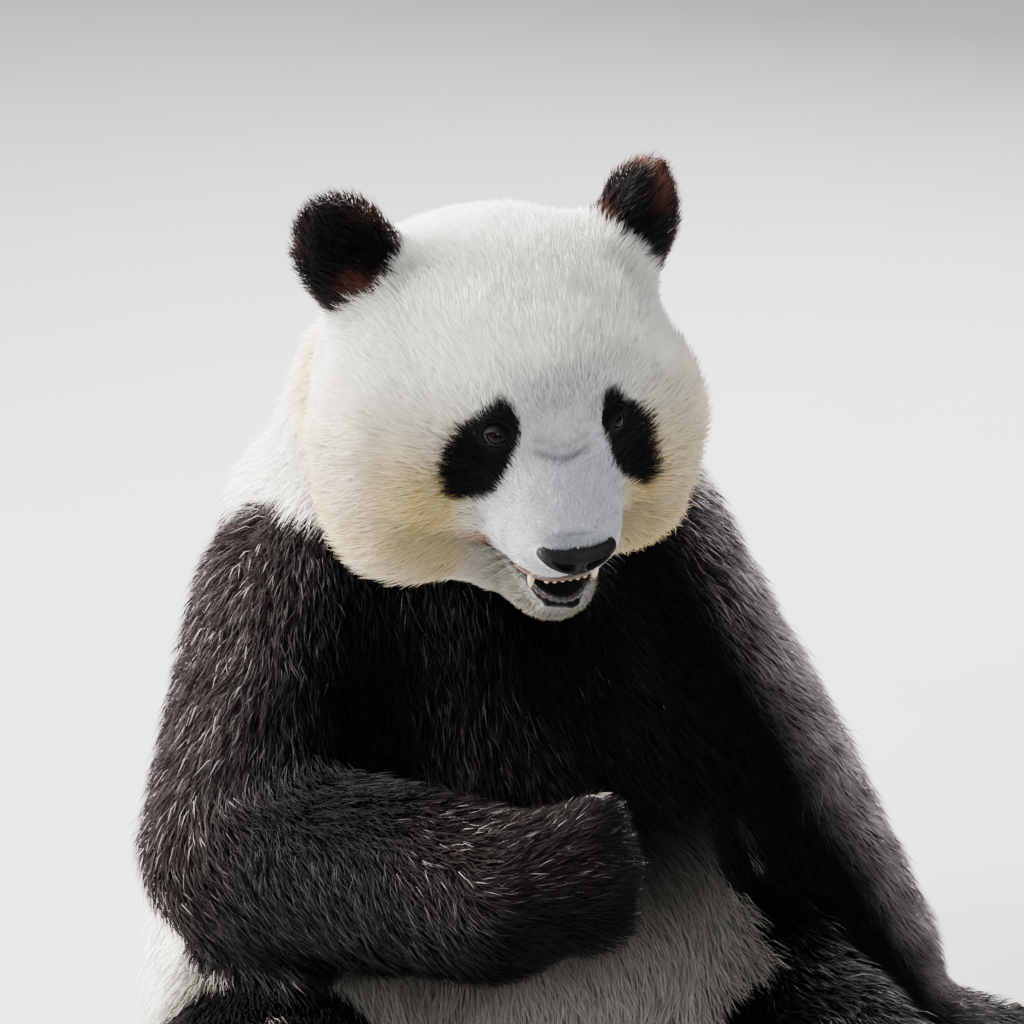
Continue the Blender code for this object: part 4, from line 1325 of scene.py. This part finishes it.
def white_coat(points):
    """The colour of the white parts, with painted shade on the muzzle, the chin and the belly, and the dark
    line of the lips.
    """
    head = to_head(points)
    on_head = near_head(points)
    low_face = ease_down(head[:, 2], *LOW_FACE) * on_head
    side_face = ease(np.abs(head[:, 0]), *SIDE_FACE)
    cream = np.clip(low_face * side_face * (0.85 + 0.3 * waves(points, 0.09, 5)), 0, 1)
    colour = mix(WHITE, CREAM, cream[:, None])
    # painted shade: the muzzle's white is greyer and bluer, the tint of white in shade
    colour = mix(colour, SHADED_MUZZLE_WHITE, (muzzle_share(head) * on_head * 0.9)[:, None])
    from_corner = head - np.array((0, *STAIN_PLACE[1:]))
    from_corner[:, 0] = np.abs(from_corner[:, 0]) - STAIN_PLACE[0]
    stain = ease_down(np.linalg.norm(from_corner, axis=1), *STAIN_REACH) * 0.8
    colour = mix(colour, STAIN, stain[:, None])
    over_lower_lip = head[:, 2] - lip_height(head[:, 1], LOWER_FRONT)
    # painted shade: the chin below the lower lip is darkened, as it lies in shade
    under_mouth = ease_down(over_lower_lip, -CHIN_DROP, 0.0) * on_head
    colour = mix(colour, CHIN_PAINTED_SHADE, (under_mouth * ease_down(head[:, 1], *CHIN_REACH) * 0.9)[:, None])
    # dark along the lips: the black of the lips, and painted shade in the gap between them
    lips_here = ease_down(head[:, 2] - lip_height(head[:, 1], UPPER_FRONT), *LIP_ABOVE)
    lips_here *= ease_down(-over_lower_lip, *LIP_BELOW)
    lips_here *= ease_down(head[:, 1], CORNER[0], CORNER[0] + LIP_LINE_END) * on_head
    colour = mix(colour, LIP_LINE, (0.95 * lips_here)[:, None])
    # painted shade: the belly turns grey, and nearly black towards the chest
    belly = ease(-points[:, 1], *BELLY_FRONT) * ease_down(points[:, 2], *BELLY_TOP) * (1 - on_head)
    colour = mix(colour, BELLY_SHADE_GREY, belly[:, None])
    return mix(colour, BELLY_DEEP_SHADE, (belly * ease(points[:, 2], *BELLY_DARK))[:, None])


# %% [markdown]
# The tips of black hair get painted highlights where the light catches them most: on the outside of the
# arms, and on the raised fist. How far out a place lies is its distance along a direction of its own for each
# arm.

# %% Painted highlights on black tips
ARM_OUTSIDE = {RIGHT: np.array((-0.792, 0.619, 0.260)), LEFT: np.array((0.963, -0.347, 0.535))}
ARM_EDGE = {RIGHT: (0.25, 0.34), LEFT: (0.480, 0.530)}  # the painted highlight grows between these distances
FIST_REACH, FIST_TOP, FIST_SHARE = (0.06, 0.13), (0.38, 0.44), 0.7
ARM_LOWEST = (0.04, 0.12)


def painted_glint(points):
    """How much painted highlight the tips of the black hairs get: on the outside of the arms and on the fist.
    """
    on_fist = ease_down(np.linalg.norm(points - np.array(wrists["forepaw_right"]), axis=1), *FIST_REACH)
    amount = FIST_SHARE * on_fist * ease(points[:, 2], *FIST_TOP)
    for side in (RIGHT, LEFT):
        amount = np.maximum(amount, ease(points @ ARM_OUTSIDE[side], *ARM_EDGE[side]))
    amount = amount * ease(points[:, 2], *ARM_LOWEST) * (1 - near_head(points))
    return np.clip(amount * (0.75 + 0.25 * waves(points, 0.05, 31)), 0, 1)[:, None]


# %% Roots and tips
STREAK_SHADE = 0.20  # the short hair of the muzzle is streaked by this much


def coat_colours(points, dark, ears):
    """Colours of the roots and of the tips of the hairs at points, and the share of black."""
    black = blackness(points, dark)[:, None]
    white = white_coat(points)
    # painted highlights: glints on the tips of black hair
    black_tip = mix(BLACK_TIP, GLINT_BROWN_TIP, 0.7 * painted_glint(points))
    # painted sheen: red-brown tips on the ears
    black_tip = mix(black_tip, EAR_SHEEN_BROWN, (ears * 0.9 * waves(points, 0.05, 32).clip(0, 1))[:, None])
    crease = crease_share(points)[:, None]
    on_muzzle = muzzle_share(to_head(points))[:, None]
    # darker roots; on the muzzle and in the folds this is painted shade between the hairs
    shade = mix(mix(ROOT_SHADE, MUZZLE_SHADE, on_muzzle), CREASE_SHADE, crease)
    from_nose = to_head(points) - PARTING
    streaks = waves(unit(from_nose) * 0.06 + from_nose * 0.2, 0.0045, 33)[:, None]
    white = white * (1 - STREAK_SHADE * on_muzzle * streaks.clip(0, 1))
    root = mix(white * shade, BLACK, black)
    # painted shade: the tips in the folds across the bridge are darkened too
    white = white * (1 - 0.55 * crease)
    tip = mix(white, black_tip, black)
    return root, tip, black[:, 0]


ears = share_of("ear_right", "ear_left")
points = points_of(skin_mesh)
root_colour, tip_colour, black_share = coat_colours(points, dark, ears)
print("black skin:", round(float(black_share.mean()) * 100), "per cent of the points")

# %% Paint the skin
BARE_BLACK = np.array((0.005, 0.0045, 0.0045))
MOUTH_FLESH = np.array((0.050, 0.016, 0.014))
MOUTH_BACK, MOUTH_SIDE = (0.028, 0.040), (0.036, 0.042)

colours = mix(root_colour, tip_colour, 0.5)
colours = mix(colours, BARE_BLACK, lid_share[:, None])
colours = mix(colours, BARE_BLACK, in_mouth[:, None])
own = to_head(points)
deep_in_mouth = in_mouth * ease(own[:, 1], *MOUTH_BACK) * ease_down(np.abs(own[:, 0]), *MOUTH_SIDE)
colours = mix(colours, MOUTH_FLESH, deep_in_mouth[:, None])
colours = mix(colours, BARE_BLACK, (socket * ease_down(pad_reach, 0.90, 0.98))[:, None])
paint(skin_mesh, "fur", colours)
print("painted", len(colours), "points")

# %% Finish of the skin
skin_finish, skin_shader = material("skin_under_coat", 0.8, Specular_IOR_Level=0.15)
streaks = ranged(skin_finish, noise_of(skin_finish, 260, 4), 0.75, 1.15)
link(skin_finish, multiplied(skin_finish, attribute_of(skin_finish, "fur").outputs["Color"], streaks),
     skin_shader.inputs["Base Color"])
bumped(skin_finish, skin_shader, noise_of(skin_finish, 420, 3), 0.0006)
finished(smooth(skin), "white_coat", skin_finish, *FLESH)
print("the skin stands for", len(FLESH), "nodes")

# %% [markdown]
# ## Tufts
# A tuft is a blade of a few triangles: broad at the root, pointed at the tip, and bent so that it lies
# down along the body. All blades of a region become one mesh, made from arrays, because an operator for
# each of them would take hours. Neighbours lean towards a common tip, which gathers them in locks.

# %% Triangles of the skin
skin_mesh.calc_loop_triangles()
count = len(skin_mesh.loop_triangles)
corners = np.empty(count * 3, np.int32)
skin_mesh.loop_triangles.foreach_get("vertices", corners)
corners = corners.reshape(-1, 3)
corner_loops = np.empty(count * 3, np.int32)
skin_mesh.loop_triangles.foreach_get("loops", corner_loops)
corner_loops = corner_loops.reshape(-1, 3)
loop_places = np.empty(len(skin_mesh.loops) * 2, np.float32)
skin_mesh.uv_layers["OFBake"].uv.foreach_get("vector", loop_places)
loop_places = loop_places.reshape(-1, 2)
print("triangles of the skin:", count)

# %% Scatter the roots
TUFT_BUDGET = 1440000  # triangles in all coat pieces
SHORT_TUFT = 17  # mm: shorter blades have one joint fewer
FINE_SHARE = 0.42  # of the long tufts that get the extra joint
FLOOR_BARE, FLOOR_THIN = (0.008, 0.020), 0.7  # fewer tufts where the animal rests on the floor
LOW_BLADE, HIGH_BLADE = 3, 5  # triangles of a blade with two joints and with three
random = np.random.default_rng(11)

bare = np.maximum(lid_share, ease(in_mouth, 0.3, 0.6))
bare = np.maximum(bare, socket * ease_down(pad_reach, 0.88, 1.02))
for place, size in pad_places:
    bare = np.maximum(bare, ease_down(np.linalg.norm(points - place, axis=1), size * 0.8, size * 1.15))
wanted = crowd * 1e4 * (1 - bare) * (1 - FLOOR_THIN * ease_down(points[:, 2], *FLOOR_BARE))
a, b, c = (points[corners[:, k]] for k in range(3))
areas = np.linalg.norm(np.cross(b - a, c - a), axis=1) / 2
expected = areas * wanted[corners].mean(axis=1)
short = length[corners].mean(axis=1) < SHORT_TUFT
cost = np.where(short, LOW_BLADE, mix(LOW_BLADE, HIGH_BLADE, FINE_SHARE))
scale = TUFT_BUDGET / (expected * cost).sum()
print("tufts asked for:", int(expected.sum()), "scaled by", round(float(scale), 2))
running = np.cumsum(expected * scale)
draws = np.arange(int(running[-1])) + random.uniform(0, 1, int(running[-1]))
chosen = np.minimum(np.searchsorted(running, draws), count - 1)
weights = random.dirichlet(np.ones(3), len(chosen))
print("tufts:", len(chosen))


# %% What each tuft reads from the skin
def at_roots(values):
    """A field of the skin's points, read at the roots of the tufts."""
    values = values if values.ndim == 2 else values[:, None]
    read = sum(values[corners[chosen, k]] * weights[:, k:k + 1] for k in range(3))
    return read if read.shape[1] > 1 else read[:, 0]


tuft_root = at_roots(points)
tuft_normal = unit(at_roots(normals_of(skin_mesh)))
tuft_place = sum(loop_places[corner_loops[chosen, k]] * weights[:, k:k + 1] for k in range(3))
tuft_way = at_roots(way)
tuft_length = at_roots(length) * MM
tuft_width = at_roots(width) * MM
tuft_lift = np.radians(at_roots(lift))
tuft_dark = at_roots(dark)
tuft_ears = at_roots(ears)
tuft_clear = np.maximum(eye_distance(tuft_root) - EYE_RADIUS, 0)
tuft_short = short[chosen]
tuft_fine = ~tuft_short & (random.uniform(0, 1, len(chosen)) < FINE_SHARE)
print("short tufts:", int(tuft_short.sum()), "with an extra joint:", int(tuft_fine.sum()))

# %% [markdown]
# No two hairs are alike. Each tuft gets its own turn, length, lift and width, by chance and in slow waves
# over the body. Then tufts of one lock lean towards its middle.

# %% Vary the tufts
JITTER = math.radians(12)

tuft_way = unit(tuft_way - tuft_normal * dot(tuft_way, tuft_normal))
sideways = unit(np.cross(tuft_normal, tuft_way))
turn = random.normal(0, JITTER, len(chosen))
turn = turn + 0.28 * waves(tuft_root, 0.070, 7) + 0.20 * waves(tuft_root, 0.025, 8)
tuft_way = tuft_way * np.cos(turn)[:, None] + sideways * np.sin(turn)[:, None]
sideways = unit(np.cross(tuft_normal, tuft_way))
tuft_length *= random.uniform(0.72, 1.10, len(chosen)) * (1 + 0.10 * waves(tuft_root, 0.040, 9))
tuft_length = np.minimum(tuft_length, 3.5 * MM + 0.8 * tuft_clear)
tuft_lift *= random.normal(1, 0.14, len(chosen)).clip(0.6, 1.5) * (1 + 0.15 * waves(tuft_root, 0.035, 10))
tuft_width *= random.uniform(0.70, 1.15, len(chosen))
print("mean length of a tuft", round(float(tuft_length.mean() / MM), 1), "mm")

# %% Lean the tufts together
LOCK_SPACING = 0.013  # of the tips that locks gather at, in metres
LEAN = 0.32

spacing = LOCK_SPACING * (0.45 + 0.55 * np.minimum(tuft_length / 0.035, 1.2))[:, None]
cells = np.floor(tuft_root / spacing + 0.30 * random.normal(size=tuft_root.shape)).astype(np.int64)
key = (cells[:, 0] * 73856093) ^ (cells[:, 1] * 19349663) ^ (cells[:, 2] * 83492791)
_, lock = np.unique(key, return_inverse=True)
lock_size = np.bincount(lock)
lock_middle = np.stack([np.bincount(lock, weights=tuft_root[:, k]) / lock_size for k in range(3)], axis=1)
pull = lock_middle[lock] - tuft_root
pull -= tuft_normal * dot(pull, tuft_normal)
pull *= np.minimum(1, 0.7 * spacing / np.maximum(np.linalg.norm(pull, axis=1, keepdims=True), 1e-6)) ** 4
lock_bright = random.normal(1, 0.055, len(lock_size))[lock]
print("locks:", len(lock_size))

# %% [markdown]
# A blade is built from its root outwards: two points at each joint, closer together towards the tip, and one
# point at the end. A tuft stands up more at its root than at its tip, which lays the coat down.

# %% Make the blades
ROOT_DEPTH = 1.0 * MM
ROLL = math.radians(38)  # blades turn about their length by about this much
ROOT_LIFT, TIP_LIFT = 1.45, 0.40  # of the row's lift
DULL = 0.15  # darker tufts than this get the black hair's finish
GLINT_SHARE = {RIGHT: 0.05, LEFT: 0.85}  # of the black hairs of an arm whose tips get a painted highlight, nearly white
BETWEEN_ARMS = (0.15, 0.30)  # x between the share of the right arm and that of the left
FLOOR_TIPS = (1.5 * MM, 2.5 * MM)  # lowest height of the hairs, and how far it varies
PATCH = 0.0015  # half size of a tuft's patch on the bake map


def blades(which, joints):
    """Points, triangles, colours, black shares and bake places of blades with that many lengths each."""
    amount = int(which.sum())
    root, normal, along = tuft_root[which], tuft_normal[which], tuft_way[which]
    roll = random.normal(0, ROLL, amount)[:, None]
    across = sideways[which] * np.cos(roll) + normal * np.sin(roll)
    step = (tuft_length[which] / joints)[:, None]
    half = (tuft_width[which] / 2)[:, None]
    start_lift, end_lift = tuft_lift[which] * ROOT_LIFT, tuft_lift[which] * TIP_LIFT
    colour_root, colour_tip, black = coat_colours(root, tuft_dark[which], tuft_ears[which])
    black = (black > random.uniform(0.25, 0.75, amount)).astype(float)
    dull = np.maximum(black, colour_tip.mean(axis=1) < DULL)
    dullest = mix(0.88, 0.72, muzzle_share(to_head(root)))
    bright = (random.uniform(dullest, 1.06) * lock_bright[which])[:, None]
    # painted highlights: a share of the black tips is made nearly white
    glint_share = mix(GLINT_SHARE[RIGHT], GLINT_SHARE[LEFT], ease(root[:, 0], *BETWEEN_ARMS))
    pale = painted_glint(root) * (black * (random.uniform(0, 1, amount) < glint_share))[:, None]
    colour_tip = mix(colour_tip, GLINT_PALE_TIP, pale)
    rings, colours = [], []
    at = root - normal * ROOT_DEPTH
    for joint in range(joints):
        share = joint / joints
        thin = 1 - 0.30 * share - 0.25 * share ** 2
        rings += [at - across * half * thin, at + across * half * thin]
        colours += [mix(colour_root, colour_tip, min(1, share * 1.7)) * bright] * 2
        angle = mix(start_lift, end_lift, joint / max(joints - 1, 1))[:, None]
        at = at + step * (along * np.cos(angle) + normal * np.sin(angle))
        at = at + pull[which] * LEAN / joints
    rings.append(at)
    colours.append(colour_tip * bright)
    rings = np.stack(rings, axis=1)
    colours = np.clip(np.stack(colours, axis=1), 0, 1)
    lowest = FLOOR_TIPS[0] + FLOOR_TIPS[1] * random.uniform(0, 1, (amount, 1))
    rings[:, :, 2] = np.maximum(rings[:, :, 2], lowest)
    ring_size = 2 * joints + 1
    pattern = []
    for k in range(0, 2 * joints - 2, 2):
        pattern += [(k, k + 1, k + 3), (k, k + 3, k + 2)]
    pattern.append((2 * joints - 2, 2 * joints - 1, 2 * joints))
    triangles = (np.arange(amount) * ring_size)[:, None, None] + np.array(pattern)[None]
    flat = np.array([(-PATCH, 0), (PATCH, 0)] * joints + [(0, 0)])
    flat[:, 1] = np.linspace(-PATCH, PATCH, ring_size)
    places = tuft_place[which][:, None, :] + flat[None]
    shades = np.repeat(dull, len(pattern))
    return (rings.reshape(-1, 3), triangles.reshape(-1, 3), colours.reshape(-1, 3), places.reshape(-1, 2),
            shades)


# %% From blades to a mesh
def coat_mesh(name, parts):
    """One mesh from the blades of several calls."""
    offsets = np.cumsum([0] + [len(part[0]) for part in parts])
    points = np.vstack([part[0] for part in parts])
    triangles = np.vstack([part[1] + start for part, start in zip(parts, offsets)]).astype(np.int32)
    places = np.vstack([part[3] for part in parts])
    mesh = bpy.data.meshes.new(name)
    mesh.vertices.add(len(points))
    mesh.vertices.foreach_set("co", points.astype(np.float32).ravel())
    mesh.loops.add(len(triangles) * 3)
    mesh.loops.foreach_set("vertex_index", triangles.ravel())
    mesh.polygons.add(len(triangles))
    mesh.polygons.foreach_set("loop_start", np.arange(0, len(triangles) * 3, 3, dtype=np.int32))
    mesh.materials.append(white_finish)
    mesh.materials.append(black_finish)
    mesh.polygons.foreach_set("material_index", np.concatenate([part[4] for part in parts]).astype(np.int32))
    mesh.update(calc_edges=True)
    mesh.shade_smooth()
    bake = mesh.uv_layers.new(name="OFBake")
    bake.uv.foreach_set("vector", places[triangles.ravel()].astype(np.float32).ravel())
    paint(mesh, "fur", np.vstack([part[2] for part in parts]))
    return mesh


# %% Finishes of the hair
def fur_finish(name, roughness, **sockets):
    made, shader = material(name, roughness, **sockets)
    streaks = noise_of(made, 160, 4)
    streaked = ranged(made, streaks, 0.82, 1.14)
    link(made, multiplied(made, attribute_of(made, "fur").outputs["Color"], streaked),
         shader.inputs["Base Color"])
    link(made, ranged(made, streaks, roughness * 0.9, roughness * 1.1), shader.inputs["Roughness"])
    return made


white_finish = fur_finish("white_fur", 0.60, Sheen_Weight=0.20, Sheen_Roughness=0.4)
black_finish = fur_finish("black_fur", 0.48, Specular_IOR_Level=0.06)
print("finishes:", white_finish.name, black_finish.name)

# %% [markdown]
# One mesh for the whole coat would be too heavy to handle, so each region is a piece of its own. A tuft goes
# to the first piece in the list that wants it.

# %% Coat pieces
PIECE_LIMIT = 200000  # triangles
MUZZLE_BACK, CROWN_HALF, BACK_START = 0.115, 0.035, 0.06  # where the pieces of the head and the back part
tuft_head = to_head(tuft_root)
tuft_owner = owner[corners[chosen, 0]]


def belongs(*starts):
    return np.array([node.startswith(starts) for node in FLESH])[tuft_owner]


on_face = belongs("head", "jaw")
COAT_PIECES = {
    "coat_muzzle": on_face & tuft_short & (tuft_head[:, 1] < MUZZLE_BACK),
    "coat_head_right": on_face & (tuft_head[:, 0] < -CROWN_HALF),
    "coat_head_left": on_face & (tuft_head[:, 0] > CROWN_HALF),
    "coat_crown": on_face,
    "coat_ears": belongs("ear"),
    "coat_neck": belongs("neck"),
    "coat_shoulders": belongs("chest"),
    "coat_back": belongs("trunk", "tail") & (tuft_root[:, 1] > BACK_START),
    "coat_belly": belongs("trunk", "tail"),
    "coat_arm_right": belongs("upper_arm_right", "forearm_right", "forepaw_right"),
    "coat_arm_left": belongs("upper_arm_left", "forearm_left", "forepaw_left"),
    "coat_leg_right": belongs("thigh_right", "shank_right", "hind_foot_right"),
    "coat_leg_left": belongs("thigh_left", "shank_left", "hind_foot_left"),
}
left_over = np.ones(len(chosen), bool)
coat_total = 0
for name, members in COAT_PIECES.items():
    mine = members & left_over
    left_over &= ~mine
    mesh = coat_mesh(name, [blades(mine & ~tuft_fine, 2), blades(mine & tuft_fine, 3)])
    piece = object_of(mesh, name)
    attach(piece, "root")
    coat_total += len(mesh.polygons)
    print(name, len(mesh.polygons), "triangles", "TOO MANY" if len(mesh.polygons) >= PIECE_LIMIT else "")
print("coat:", coat_total, "triangles")

# %% [markdown]
# ## Floor and light
# A plain pale floor, and four soft boxes: the key out to the animal's right and a little behind it, a second
# one high above its back, a rim light behind its left shoulder, and a weak fill in front.

# %% Floor
FLOOR_HALF = 14
FLOOR_DARK, FLOOR_LIGHT = (0.40, 0.397, 0.390), (0.43, 0.427, 0.420)

floor_shape = bmesh.new()
bmesh.ops.create_grid(floor_shape, x_segments=1, y_segments=1, size=FLOOR_HALF)
floor = object_from(floor_shape, "floor")
floor_finish, floor_shader = material("floor", 0.75)
floor_noise = noise_of(floor_finish, 3, 4)
floor_colour = ramp_of(floor_finish, floor_noise, (0.2, FLOOR_DARK), (0.8, FLOOR_LIGHT))
link(floor_finish, floor_colour, floor_shader.inputs["Base Color"])
floor.data.materials.append(floor_finish)
print("floor", 2 * FLOOR_HALF, "metres wide")

# %% Soft boxes
CHEST = (0, -0.1, 0.6)


def soft_box(name, place, size, watts, tint):
    """A round soft light that points at the chest."""
    data = bpy.data.lights.new(name, "AREA")
    data.shape = "DISK"
    data.size = size
    data.energy = watts
    data.color = tint
    lamp = bpy.data.objects.new(name, data)
    bpy.context.scene.collection.objects.link(lamp)
    lamp.location = place
    lamp.rotation_euler = (Vector(CHEST) - Vector(place)).to_track_quat("-Z", "Y").to_euler()
    print(name, watts, "watts")


soft_box("key", (-2.5, 1.1, 2.1), 1.1, 480, (1.0, 0.97, 0.93))
soft_box("top", (-0.4, 1.5, 3.1), 1.0, 500, (1.0, 0.98, 0.95))
soft_box("rim", (2.1, 1.6, 2.0), 0.8, 310, (1.0, 0.98, 0.96))
soft_box("fill", (-1.5, -3.9, 2.8), 1.0, 70, (0.95, 0.97, 1.0))
world = bpy.data.worlds.new("studio")
world.use_nodes = True
sky = world.node_tree.nodes["Background"]
sky.inputs["Color"].default_value = (0.93, 0.96, 1.0, 1)
sky.inputs["Strength"].default_value = 0.34
bpy.context.scene.world = world
